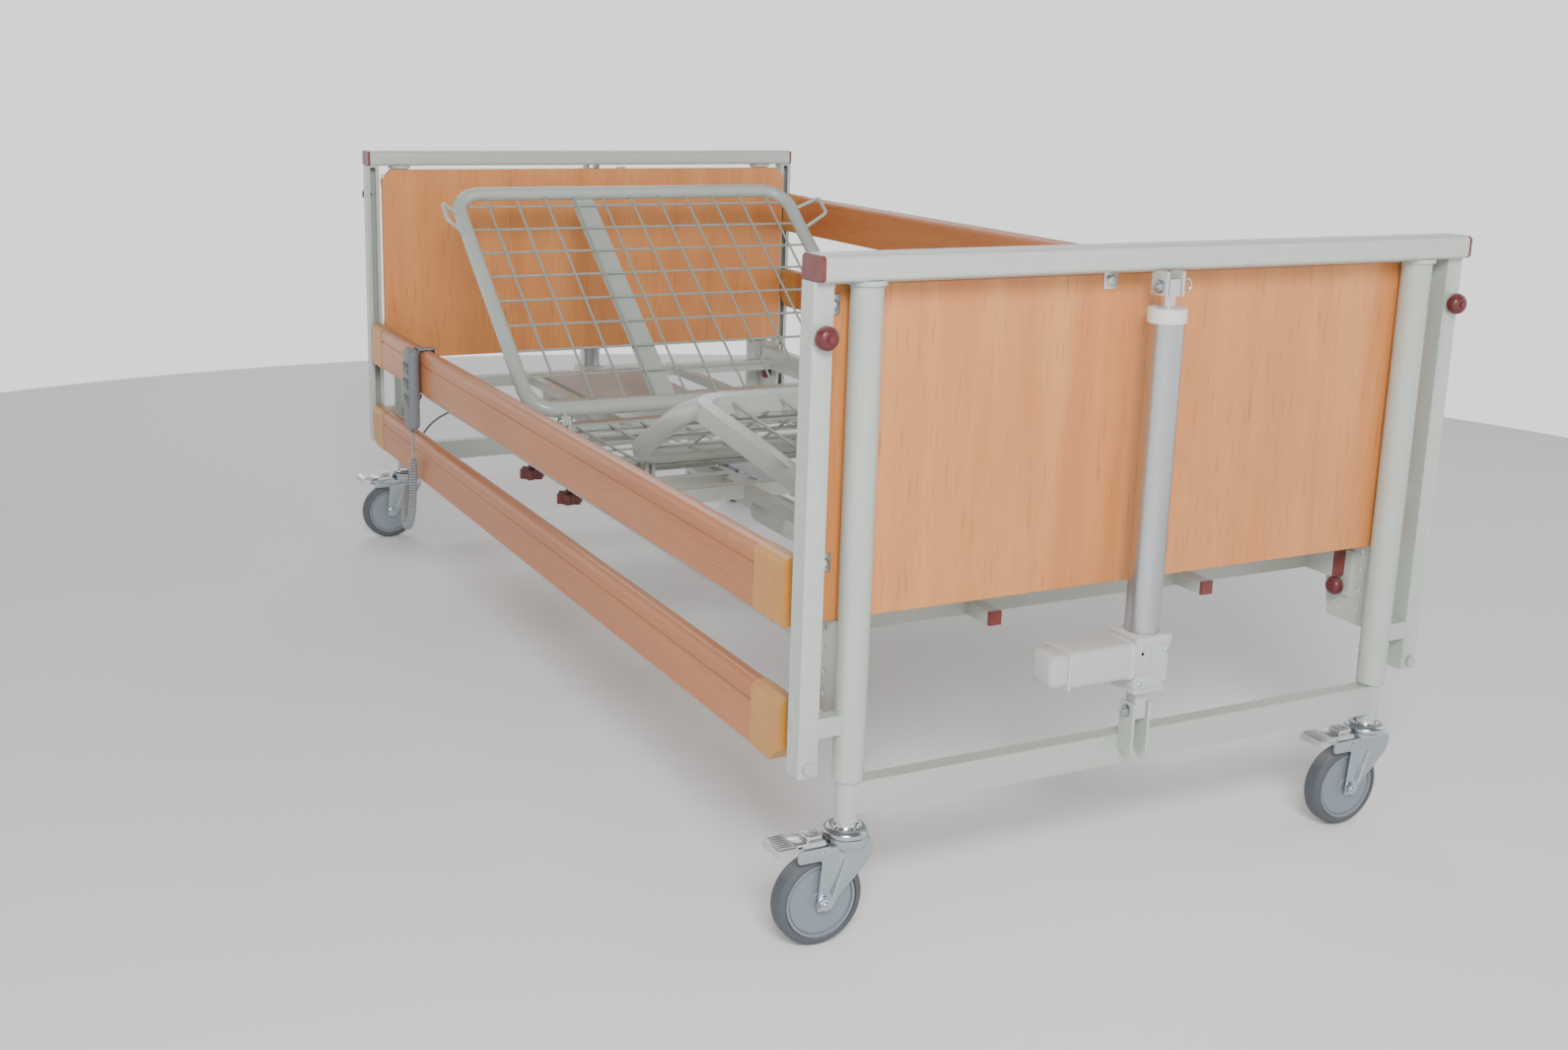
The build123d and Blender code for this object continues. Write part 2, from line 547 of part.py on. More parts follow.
with BuildPart() as pins:
    for y, z in ((BACK_Y, BACK_Z), (THIGH_Y, THIGH_Z)):
        for side in SIDES:
            bar((side * HINGE_X - 14, y, z), (side * HINGE_X + 14, y, z), HINGE_PIN)
            for face in SIDES:
                x = side * HINGE_X + face * (EAR_GAP / 2 + LUG)
                bar((x, y, z), (x + face * 3, y, z), HINGE_PIN + 6)
write(pins, "hinge_pins")

STAR_R = 24.0
with BuildPart() as screws:
    for side in SIDES:
        for y in (DECK_SPLIT - 104, DECK_SPLIT + 96):
            x = side * (DECK_X + DECK_WIDTH / 2)
            with BuildSketch(Plane.XY.offset(DECK_LOW - 30)) as star:
                with Locations((x, y)):
                    Circle(STAR_R - 5)
                    with PolarLocations(STAR_R - 6, 6):
                        Circle(6)
            extrude(amount=18)
            bar((x, y, DECK_LOW - 12), (x, y, DECK_LOW), 14)
        for end in SIDES:
            y = -end * CLAMP_Y
            face = side * (WING_IN - TONGUE)
            bar((face, y, CLAMP_Z), (side * WING_OUT, y, CLAMP_Z), CLAMP_D)
            hexagon_head((side * WING_OUT, y, CLAMP_Z), (side * (WING_OUT + 6), y, CLAMP_Z), 13)
            bar((face, y, CLAMP_Z), (face - side * 7, y, CLAMP_Z), 16)
            dome((face - side * 6, y, CLAMP_Z), (face - side * 7, y, CLAMP_Z), 14.5, 14)
write(screws, "hand_screws")


# ---- wire meshes --------------------------------------------------------------------
def corner_cut(place, half, radius):
    """How far a rounded corner pulls a frame's inner side in, at a place across or along it."""
    into = abs(place) + WIRE / 2 - (half - radius)
    return radius - sqrt(radius ** 2 - into ** 2) if into > 0 else 0.0


def wire_grid(plane, xs, ys, x_half, y_low, y_high, radius=0.0, edge_low=0.0):
    """Long wires over cross wires, cut to a frame whose inside corners have a radius.

    The outermost long wires may start further up, at edge_low.
    """
    lift = WIRE / 2 + 0.05
    middle, y_half = (y_low + y_high) / 2, (y_high - y_low) / 2
    for x in xs:
        cut = corner_cut(x, x_half, radius)
        low = edge_low if edge_low and x in (min(xs), max(xs)) else y_low + cut
        bar(plane.from_local_coords((x, low, lift)),
            plane.from_local_coords((x, y_high - cut, lift)), WIRE)
    for y in ys:
        reach = x_half - corner_cut(y - middle, y_half, radius)
        bar(plane.from_local_coords((-reach, y, -lift)), plane.from_local_coords((reach, y, -lift)),
            WIRE)


def pitched(first, pitch, count):
    """Evenly spaced places."""
    return [first + pitch * k for k in range(count)]


back_plane = tilted(BACK_Y, BACK_Z, BACK_ANGLE, 1)
thigh_plane = tilted(THIGH_Y, THIGH_Z, THIGH_ANGLE, -1)
knee = thigh_plane.from_local_coords((0, THIGH_LENGTH, 0))
calf_plane = tilted(knee.Y, knee.Z, -CALF_ANGLE, -1)
flat_seat = Plane(origin=(0, 0, SEAT_BAR_Z[1] + WIRE + 0.2), z_dir=(0, 0, 1))

long_wires = pitched(WIRE_SHIFT - 5 * WIRE_PITCH_X, WIRE_PITCH_X, 11)
back_rows = pitched(52.0, WIRE_PITCH_Y, 9)
back_inner = BACK_HALF - BACK_TUBE / 2
with BuildPart() as back_mesh:
    wire_grid(back_plane, long_wires, back_rows, back_inner - 0.1, FRAME_SET + BACK_TUBE / 2 + 0.1,
              BACK_LENGTH - BACK_TUBE / 2 - 0.1, BACK_CORNER - BACK_TUBE / 2, back_rows[1])
write(back_mesh, "backrest_mesh")

with BuildPart() as seat_mesh:
    wire_grid(flat_seat, long_wires, pitched(-60.0, 60.0, 6), DECK_X - 1, -82, 250)
write(seat_mesh, "seat_mesh")

thigh_inner = THIGH_HALF - THIGH_TUBE / 2
with BuildPart() as thigh_mesh:
    wire_grid(thigh_plane, long_wires[:-1], pitched(80.0, 68.0, 4), thigh_inner - 0.1,
              FRAME_SET + THIGH_TUBE / 2 + 0.1, THIGH_LENGTH - FRAME_SET - THIGH_TUBE / 2 - 0.1,
              THIGH_CORNER - THIGH_TUBE / 2)
write(thigh_mesh, "thigh_mesh")

CALF_START = 14.0
with BuildPart() as calf_mesh:
    wire_grid(calf_plane, pitched(-340.0, 85.0, 9), pitched(110.0, 120.0, 4),
              CALF_HALF - CALF_WIDTH / 2 - 0.1, CALF_START + CALF_WIDTH + 0.1,
              CALF_LENGTH - CALF_WIDTH - 0.1)
write(calf_mesh, "calf_mesh")


# ---- moving sections ----------------------------------------------------------------
def ring_tube(plane, half, low, high, radius, diameter):
    """A closed frame of round tube with rounded corners, in a section's plane."""
    for side in SIDES:
        corners = [(0, low, 0), (side * half, low, 0), (side * half, high, 0), (0, high, 0)]
        with BuildLine() as path:
            FilletPolyline(*[plane.from_local_coords(corner) for corner in corners], radius=radius)
        swept(path.wires()[0], diameter, TUBE_WALL)


def retainer_loops(plane, half, low, high, rise, spread, lift=0.0):
    """Wire loops that keep the mattress from sliding sideways."""
    for side in SIDES:
        with BuildLine() as path:
            corners = [(half, low, lift), (half + spread, low + 8, rise), (half + spread, high - 8, rise),
                       (half, high, lift)]
            FilletPolyline(*[plane.from_local_coords((side * x, y, z)) for x, y, z in corners], radius=9)
        swept(path.wires()[0], 8)


def hinge_lugs(plane, at, reach):
    """Lugs from a frame tube to the hinge axis, at local Y = at, tube at Y = at + reach."""
    for side in SIDES:
        x = side * HINGE_X
        start = plane.from_local_coords((x - LUG / 2, at, 0))
        end = plane.from_local_coords((x + LUG / 2, at, 0))
        bar(start, end, 2 * EAR_R)
        with BuildSketch(Plane(origin=plane.from_local_coords((x - LUG / 2, at, 0)),
                               x_dir=plane.y_dir, z_dir=plane.x_dir)) as web:
            with Locations((reach / 2, 0)):
                Rectangle(abs(reach), 2 * EAR_R - 2)
        extrude(web.sketch, amount=LUG)


def lug_bores(plane, at, gap):
    for side in SIDES:
        x = side * HINGE_X
        bar(plane.from_local_coords((x - 9, at, 0)), plane.from_local_coords((x + 9, at, 0)),
            HINGE_PIN + 2 * gap, Mode.SUBTRACT)


def drive_lever(x, hinge_y, hinge_z, swing, most, direction, plane):
    """A slotted plate that an actuator's pin pushes; swing and most are angles from straight down."""
    drop = hinge_z - DRIVE_Z
    a = radians(swing) * direction
    down = Plane(origin=(x - LEVER_THICK / 2, hinge_y, hinge_z), x_dir=(0, sin(a), -cos(a)),
                 z_dir=(1, 0, 0))
    reach = drop / cos(radians(most + 1))
    with BuildSketch(down) as outline:
        with Locations(((reach + 12) / 2, 0)):
            Rectangle(reach + 12, 2 * LEVER_HALF)
        with Locations((reach + 12, 0)):
            Circle(LEVER_HALF)
        Circle(LEVER_HALF)
        with Locations(((drop + reach) / 2, 0)):
            SlotCenterToCenter(reach - drop + 6, DRIVE_PIN + 2 * SLOT_SLACK, mode=Mode.SUBTRACT)
    extrude(outline.sketch, amount=LEVER_THICK)
    with BuildSketch(Plane(origin=(x - LEVER_THICK / 2, hinge_y, hinge_z),
                           x_dir=plane.y_dir, z_dir=(1, 0, 0))) as neck:
        with Locations((FRAME_SET / 2, 0)):
            Rectangle(FRAME_SET, 24)
    extrude(neck.sketch, amount=LEVER_THICK)


with BuildPart() as backrest:
    ring_tube(back_plane, BACK_HALF, FRAME_SET, BACK_LENGTH, BACK_CORNER, BACK_TUBE)
    with BuildSketch(back_plane.offset(-2 * WIRE - 4)) as strip:
        with Locations((STRIP_X, (FRAME_SET + BACK_LENGTH) / 2)):
            Rectangle(STRIP_WIDTH, BACK_LENGTH - FRAME_SET)
    extrude(amount=6)
    retainer_loops(back_plane, BACK_HALF, 525, 592, 45, 52)
    hinge_lugs(back_plane, 0, FRAME_SET)
    drive_lever(BACK_DRIVE_X, BACK_Y, BACK_Z, BACK_ANGLE - BACK_MID_ANGLE, BACK_MID_ANGLE, 1,
                back_plane)
    lug_bores(back_plane, 0, RUNNING_GAP)
write(backrest, "backrest_frame")

THIGH_END = THIGH_LENGTH - FRAME_SET
with BuildPart() as thigh:
    ring_tube(thigh_plane, THIGH_HALF, FRAME_SET, THIGH_END, THIGH_CORNER, THIGH_TUBE)
    hinge_lugs(thigh_plane, 0, FRAME_SET)
    hinge_lugs(thigh_plane, THIGH_LENGTH, -FRAME_SET)
    drive_lever(LEG_DRIVE_X, THIGH_Y, THIGH_Z, THIGH_ANGLE - THIGH_MID_ANGLE, THIGH_MID_ANGLE, -1,
                thigh_plane)
    lug_bores(thigh_plane, 0, RUNNING_GAP)
    lug_bores(thigh_plane, THIGH_LENGTH, 0.01)
    # knee pins, pressed into the thigh's lugs
    for side in SIDES:
        x = -side * HINGE_X
        bar(thigh_plane.from_local_coords((x - 5, THIGH_LENGTH, 0)),
            thigh_plane.from_local_coords((x + side * 22, THIGH_LENGTH, 0)), HINGE_PIN)
write(thigh, "thigh_frame")

KNEE_LUG = HINGE_X + LUG + LOOSE_GAP
with BuildPart() as calf:
    with BuildSketch(calf_plane.offset(-CALF_HEIGHT / 2)) as ring:
        middle = (CALF_START + CALF_LENGTH) / 2
        with Locations((0, middle)):
            RectangleRounded(2 * CALF_HALF + CALF_WIDTH, CALF_LENGTH - CALF_START, 55)
            RectangleRounded(2 * CALF_HALF - CALF_WIDTH, CALF_LENGTH - CALF_START - 2 * CALF_WIDTH,
                             55 - CALF_WIDTH, mode=Mode.SUBTRACT)
    extrude(amount=CALF_HEIGHT)
    with BuildSketch(calf_plane.offset(TUBE_WALL - CALF_HEIGHT / 2)) as hollow:
        with Locations((0, middle)):
            RectangleRounded(2 * CALF_HALF + CALF_WIDTH - 2 * TUBE_WALL,
                             CALF_LENGTH - CALF_START - 2 * TUBE_WALL, 55 - TUBE_WALL)
            RectangleRounded(2 * CALF_HALF - CALF_WIDTH + 2 * TUBE_WALL,
                             CALF_LENGTH - CALF_START - 2 * CALF_WIDTH + 2 * TUBE_WALL,
                             55 - CALF_WIDTH + TUBE_WALL, mode=Mode.SUBTRACT)
    extrude(amount=CALF_HEIGHT - 2 * TUBE_WALL, mode=Mode.SUBTRACT)
    retainer_loops(calf_plane, CALF_HALF + 4, 350, 430, 45, 38, 10)
    for side in SIDES:
        x = side * KNEE_LUG
        near = calf_plane.from_local_coords((x - LUG / 2, 0, 0))
        far = calf_plane.from_local_coords((x + LUG / 2, 0, 0))
        bar(near, far, 2 * EAR_R)
        with BuildSketch(Plane(origin=near, x_dir=calf_plane.y_dir, z_dir=calf_plane.x_dir)) as web:
            with Locations(((CALF_START + 4) / 2, 0)):
                Rectangle(CALF_START + 4, 2 * EAR_R - 2)
        extrude(web.sketch, amount=LUG)
    for side in SIDES:
        x = side * KNEE_LUG
        bar(calf_plane.from_local_coords((x - 9, 0, 0)), calf_plane.from_local_coords((x + 9, 0, 0)),
            HINGE_PIN + 2 * RUNNING_GAP, Mode.SUBTRACT)
write(calf, "calf_frame")


# ---- deck actuators -----------------------------------------------------------------
def drive_pin_y(hinge_y, hinge_z, swing, direction):
    """Where an actuator's pin stands when its lever swings away from straight down."""
    return hinge_y + direction * (hinge_z - DRIVE_Z) * tan(radians(swing))


DRIVE_NECK = 50.0        # from the body's end to the pin, with the rod right in
FORK_REACH = 34.0        # from the rod's crown to the pin, so that the lever's end clears it
FORK_CROWN = 10.0
for name, x, hinge, mid, angle, direction, foot_y in (
        ("back", BACK_DRIVE_X, (BACK_Y, BACK_Z), BACK_MID_ANGLE, BACK_ANGLE, 1, FOOT_CARRIER),
        ("leg", LEG_DRIVE_X, (THIGH_Y, THIGH_Z), THIGH_MID_ANGLE, THIGH_ANGLE, -1, HEAD_CARRIER)):
    pin_in = drive_pin_y(*hinge, -mid, direction)
    pin_y = drive_pin_y(*hinge, angle - mid, direction)
    mouth = pin_in - direction * DRIVE_NECK
    tail = foot_y - direction * 10
    aside = x + (30 if x > 0 else -30)
    with BuildPart() as drive:
        bar((x, tail, DRIVE_Z), (x, mouth, DRIVE_Z), DRIVE_D)
        bar((x, tail + direction * 20, DRIVE_Z), (x, mouth + direction, DRIVE_Z), DRIVE_ROD + 12,
            Mode.SUBTRACT)
        bar((x, mouth - direction * 30, DRIVE_Z), (x, mouth, DRIVE_Z), DRIVE_D)
        bar((aside, tail, DRIVE_Z), (aside, tail + direction * 130, DRIVE_Z), 52)
        bar((x, mouth - direction * 31, DRIVE_Z), (x, mouth + direction, DRIVE_Z),
            DRIVE_ROD + 2 * RUNNING_GAP, Mode.SUBTRACT)
        block((x - 18, x + 18), (foot_y - 10, foot_y + 10), (DRIVE_Z + 16, DECK_LOW))
        bar((x, tail + direction * 21, DRIVE_Z), (x, mouth - direction * 29, DRIVE_Z), DRIVE_ROD + 12,
            Mode.SUBTRACT)
    write(drive, f"{name}_actuator_body")
    with BuildPart() as rod:
        rod_tail = mouth - direction * 60
        fork_x = LEVER_THICK / 2 + LOOSE_GAP
        crown = pin_y - direction * FORK_REACH
        bar((x, rod_tail, DRIVE_Z), (x, crown, DRIVE_Z), DRIVE_ROD)
        block((x - 13, x + 13), (crown - direction * FORK_CROWN, crown), (DRIVE_Z - 12, DRIVE_Z + 12))
        for face in SIDES:
            block((x + face * fork_x, x + face * 13), (crown - direction, pin_y + direction * 9),
                  (DRIVE_Z - 12, DRIVE_Z + 12))
        bar((x - 15, pin_y, DRIVE_Z), (x + 15, pin_y, DRIVE_Z), DRIVE_PIN)
    write(rod, f"{name}_actuator_rod")


# ---- control box --------------------------------------------------------------------
CORD_EXIT = (BOX_X[0] - GLAND_LENGTH, 795.0, 352.0)
with BuildPart() as box:
    block(BOX_X, BOX_Y, BOX_Z)
    fillet(box.edges().filter_by(Axis.Z), 12)
    fillet(box.faces().sort_by(Axis.Z)[0].edges(), 6)
    # strain relief of the handset's cord
    with Locations(Plane(origin=(BOX_X[0], *CORD_EXIT[1:]), z_dir=(-1, 0, 0)).location):
        Cone(9, 4.5, GLAND_LENGTH, align=(Align.CENTER, Align.CENTER, Align.MIN))
write(box, "control_box")


# ---- side rails ---------------------------------------------------------------------
GROOVE_DROP = 27.0
SLIDER_HALF = 9.0
SLIDER_NECK = 4.0


def rail_profile(x, low, side, grow=0.0):
    """The plank's outline: round top edge and a groove line on the outer face."""
    with BuildSketch(Plane.XZ) as outline:
        with Locations((x, low + SIDE_RAIL_HEIGHT / 2)):
            Rectangle(SIDE_RAIL_THICK + 2 * grow, SIDE_RAIL_HEIGHT + 2 * grow)
        fillet(outline.vertices().group_by(Axis.Y)[-1], 12)
        fillet(outline.vertices().group_by(Axis.Y)[0], 5)
        if not grow:
            with Locations((x + side * SIDE_RAIL_THICK / 2, low + SIDE_RAIL_HEIGHT - GROOVE_DROP)):
                Circle(2.2, mode=Mode.SUBTRACT)
    return outline.sketch


for group, side, low in (("near", -1, NEAR_LOW), ("far", 1, FAR_LOW)):
    middle = side * (SIDE_RAIL_IN + SIDE_RAIL_THICK / 2)
    for which, z in (("lower", low), ("upper", low + RAIL_SPACING)):
        with BuildPart() as plank:
            extrude(rail_profile(middle, z, side), amount=SIDE_RAIL_HALF, both=True)
        write(plank, f"{group}_rail_{which}")
    with BuildPart() as rail_caps:
        for which, z in (("lower", low), ("upper", low + RAIL_SPACING)):
            for end in SIDES:
                start, stop = end * SIDE_RAIL_HALF, end * (SIDE_RAIL_HALF + RAIL_CAP)
                cap_face = rail_profile(middle, z, side, CAP_PROUD).moved(Location((0, start, 0)))
                extrude(cap_face, amount=RAIL_CAP, dir=(0, end, 0))
                if which == "lower":
                    with BuildSketch(Plane.YZ.offset(middle - 20)) as corner:
                        with BuildLine():
                            Polyline((stop - end * 28, z - 2), (stop + end, z - 2),
                                     (stop + end, z + 22), close=True)
                        make_face()
                    extrude(corner.sketch, amount=40, mode=Mode.SUBTRACT)
                # slider in the guide channel
                x, mid = side * CHANNEL_X, z + SIDE_RAIL_HEIGHT / 2
                inner = end * (LEG_Y + 10.0 - CHANNEL_DEPTH + CHANNEL_WALL + 1.5)
                block((x - SLIDER_NECK, x + SLIDER_NECK), (stop - end * 2, inner + end), (mid - 18, mid + 18))
                block((x - SLIDER_HALF, x + SLIDER_HALF), (inner, inner + end * 20), (mid - 20, mid + 20))
    write(rail_caps, f"{group}_rail_caps")


# ---- handset ------------------------------------------------------------------------
hook_top = NEAR_LOW + RAIL_SPACING + SIDE_RAIL_HEIGHT + 1.0
handset_back = HANDSET_X + HANDSET_THICK
rocker_rows = [HANDSET_LOW + HANDSET_HEIGHT - 40 - 34 * k for k in range(3)]
with BuildPart() as handset:
    with BuildSketch(Plane.YZ.offset(HANDSET_X)) as face:
        with Locations((HANDSET_Y, HANDSET_LOW + HANDSET_HEIGHT / 2)):
            RectangleRounded(HANDSET_WIDTH, HANDSET_HEIGHT, 16)
    extrude(amount=HANDSET_THICK)
    fillet(handset.faces().sort_by(Axis.X)[0].edges(), 6)
    for z in rocker_rows:
        block((HANDSET_X - 1, HANDSET_X + 5), (HANDSET_Y - ROCKER_WIDTH / 2, HANDSET_Y + ROCKER_WIDTH / 2),
              (z - ROCKER_HEIGHT / 2, z + ROCKER_HEIGHT / 2), Mode.SUBTRACT)
    # wire hook over the rail
    block((handset_back - 1, handset_back + 1.5), (HANDSET_Y - 16, HANDSET_Y + 16),
          (HANDSET_LOW + 60, hook_top + 3))
    block((handset_back - 1, -SIDE_RAIL_IN + 4), (HANDSET_Y - 16, HANDSET_Y + 16), (hook_top, hook_top + 3))
    block((-SIDE_RAIL_IN + 1, -SIDE_RAIL_IN + 4), (HANDSET_Y - 16, HANDSET_Y + 16),
          (hook_top - 16, hook_top + 3))
write(handset, "handset")

for number, z in enumerate(rocker_rows, start=1):
    half_y, half_z = ROCKER_WIDTH / 2 - LOOSE_GAP, ROCKER_HEIGHT / 2 - LOOSE_GAP
    with BuildPart() as rocker:
        with BuildSketch(Plane.XZ.offset(-(HANDSET_Y + half_y))) as side_view:
            with BuildLine():
                Polyline((HANDSET_X - ROCKER_PROUD, z + half_z), (HANDSET_X - 0.5, z),
                         (HANDSET_X - ROCKER_PROUD, z - half_z),
                         (HANDSET_X + 2.5, z - half_z), (HANDSET_X + 4, z), (HANDSET_X + 2.5, z + half_z),
                         close=True)
            make_face()
        extrude(amount=2 * half_y)
    write(rocker, f"handset_rocker_{number}")


# ---- cord ---------------------------------------------------------------------------
cord_top = (HANDSET_X + HANDSET_THICK / 2, HANDSET_Y, HANDSET_LOW - 0.5)
curl_route = [(-552, 635, 285), (-551, 642, 205), (-549, 672, 138), (-543, 732, 104),
              (-530, 798, 116), (-508, 846, 176)]
lead_route = [(-508, 846, 176), (-486, 868, 252), (-430, 874, 322), (-330, 850, 346),
              (-245, 812, 351), CORD_EXIT]


def rounded_route(points):
    """Straight runs joined by arcs, each as large as its two runs allow."""
    places = [Vector(*p) for p in points]
    radii = []
    for before, corner, after in zip(places, places[1:], places[2:]):
        turn = (corner - before).get_angle(after - corner)
        shorter = min((corner - before).length, (after - corner).length)
        radii.append(0.45 * shorter / tan(radians(turn) / 2))
    print("cord radii, mm:", [round(r) for r in radii])
    with BuildLine() as line:
        FilletPolyline(*places, radius=radii)
    return line.wires()[0]


with BuildPart() as curl:
    swept(rounded_route(curl_route), CURL_D)
write(curl, "cord_curl")

with BuildPart() as lead:
    bar(cord_top, curl_route[0], CORD_D)
    swept(rounded_route(lead_route), CORD_D)
write(lead, "cord_lead")
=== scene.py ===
"""Looks of the adjustable hospital bed: metres, X across, Y from foot to head, Z up."""
import json
from math import cos, pi, radians, sin

import bmesh
import bpy
from mathutils import Matrix, Vector


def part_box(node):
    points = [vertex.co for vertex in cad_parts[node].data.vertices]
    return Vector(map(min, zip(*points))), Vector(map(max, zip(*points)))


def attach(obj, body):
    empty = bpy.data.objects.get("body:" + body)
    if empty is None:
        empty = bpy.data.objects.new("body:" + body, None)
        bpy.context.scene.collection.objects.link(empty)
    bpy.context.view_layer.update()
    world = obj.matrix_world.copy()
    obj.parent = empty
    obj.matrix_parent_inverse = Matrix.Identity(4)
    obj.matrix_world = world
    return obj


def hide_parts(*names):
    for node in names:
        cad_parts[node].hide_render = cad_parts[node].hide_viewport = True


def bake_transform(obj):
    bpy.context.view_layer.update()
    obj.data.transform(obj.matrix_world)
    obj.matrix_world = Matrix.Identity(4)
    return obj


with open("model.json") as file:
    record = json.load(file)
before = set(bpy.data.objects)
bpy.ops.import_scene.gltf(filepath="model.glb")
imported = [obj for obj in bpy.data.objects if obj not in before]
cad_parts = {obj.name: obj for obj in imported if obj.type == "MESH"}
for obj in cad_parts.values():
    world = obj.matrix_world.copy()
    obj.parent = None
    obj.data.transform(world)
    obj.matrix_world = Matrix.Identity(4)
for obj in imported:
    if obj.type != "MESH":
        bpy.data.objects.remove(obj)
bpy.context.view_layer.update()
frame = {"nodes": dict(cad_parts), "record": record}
nodes = frame["nodes"]

SIDES = (-1, 1)
PLACES = {"foot_near": (-1, -1), "foot_far": (1, -1), "head_near": (-1, 1), "head_far": (1, 1)}
deck_low, deck_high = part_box("deck_frame_foot")
MIDDLE_X = (deck_low.x + deck_high.x) / 2      # the bed's centre line


# ---- camera, floor and light --------------------------------------------------------
EYE = (-1.5107, -2.8320, 1.1206)               # X is from the bed's centre line
EYE_RIGHT, EYE_UP = (0.8948, -0.4458, 0.0251), (0.0801, 0.2156, 0.9732)
LENS, SENSOR = 39.49, 36.0                     # millimetres, as Blender's camera takes them
SHIFT = (0.0219, -0.0398)
FLOOR_RADIUS = 3.4


def place_camera():
    """A camera at eye height, off the foot end's near corner."""
    data = bpy.data.cameras.new("camera")
    data.sensor_width = SENSOR
    data.lens = LENS
    data.shift_x, data.shift_y = SHIFT
    camera = bpy.data.objects.new("camera", data)
    bpy.context.scene.collection.objects.link(camera)
    right, up = Vector(EYE_RIGHT), Vector(EYE_UP)
    back = right.cross(up)
    turn = Matrix((right, up, back)).transposed().to_4x4()
    camera.matrix_world = Matrix.Translation((EYE[0] + MIDDLE_X, EYE[1], EYE[2])) @ turn
    bpy.context.scene.camera = camera


def area_light(name, place, aim, size, power, colour=(1, 1, 1)):
    """A soft rectangular light that points at a place."""
    data = bpy.data.lights.new(name, "AREA")
    data.shape = "RECTANGLE"
    data.size, data.size_y = size
    data.energy = power
    data.color = colour
    lamp = bpy.data.objects.new(name, data)
    bpy.context.scene.collection.objects.link(lamp)
    lamp.location = place
    lamp.rotation_euler = (Vector(aim) - Vector(place)).to_track_quat("-Z", "Y").to_euler()


def make_studio():
    """A plain pale floor, a pale surround and soft lights."""
    bpy.ops.mesh.primitive_circle_add(vertices=96, radius=FLOOR_RADIUS, fill_type="NGON",
                                      location=(0, 0, -0.001))
    floor = bpy.context.object
    floor.name = "floor"
    floor.data.materials.append(plain_material("floor_white", (0.96, 0.96, 0.96), 0.8))
    world = bpy.data.worlds.new("surround")
    world.use_nodes = True
    tree = world.node_tree
    sky = node(tree, "ShaderNodeTexCoord")
    split = node(tree, "ShaderNodeSeparateXYZ", {0: sky.outputs["Generated"]})
    ramp = node(tree, "ShaderNodeValToRGB", {0: split.outputs["Z"]})
    stops = ramp.color_ramp.elements
    stops[0].position, stops[0].color = 0.22, (1, 1, 1, 1)
    stops[1].position, stops[1].color = 0.50, (0.16, 0.16, 0.165, 1)
    tree.links.new(ramp.outputs[0], tree.nodes["Background"].inputs["Color"])
    tree.nodes["Background"].inputs["Strength"].default_value = 1.45
    bpy.context.scene.world = world
    area_light("key_light", (-1.7, -3.9, 2.7), (0, -0.2, 0.4), (1.5, 1.2), 170)
    area_light("fill_light", (3.6, -1.2, 2.6), (0, 0, 0.5), (2.5, 2.5), 30)
    area_light("back_light", (0.6, 4.2, 3.4), (0, 0, 0.5), (3.0, 2.0), 60)


# ---- shader groups ------------------------------------------------------------------
def new_group(name, inputs, outputs):
    """A shader node group with named float, colour or vector sockets."""
    group = bpy.data.node_groups.new(name, "ShaderNodeTree")
    for label, kind, value in inputs:
        socket = group.interface.new_socket(label, in_out="INPUT", socket_type=kind)
        if value is not None:
            socket.default_value = value
    for label, kind in outputs:
        group.interface.new_socket(label, in_out="OUTPUT", socket_type=kind)
    return group, group.nodes.new("NodeGroupInput"), group.nodes.new("NodeGroupOutput")


def node(tree, kind, links=None, **values):
    """Adds a node, sets its properties and inputs, and links sockets into it."""
    made = tree.nodes.new(kind)
    for key, value in values.items():
        if hasattr(made, key):
            setattr(made, key, value)
        else:
            made.inputs[key.replace("_", " ")].default_value = value
    for key, source in (links or {}).items():
        tree.links.new(source, made.inputs[key])
    return made


def mixed(tree, factor, first, second, mode="MIX"):
    """A colour mix; first and second are sockets or colours."""
    made = tree.nodes.new("ShaderNodeMix")
    made.data_type = "RGBA"
    made.blend_type = mode
    for socket, value in ((made.inputs[0], factor), (made.inputs[6], first), (made.inputs[7], second)):
        if isinstance(value, bpy.types.NodeSocket):
            tree.links.new(value, socket)
        else:
            socket.default_value = value
    return made.outputs[2]


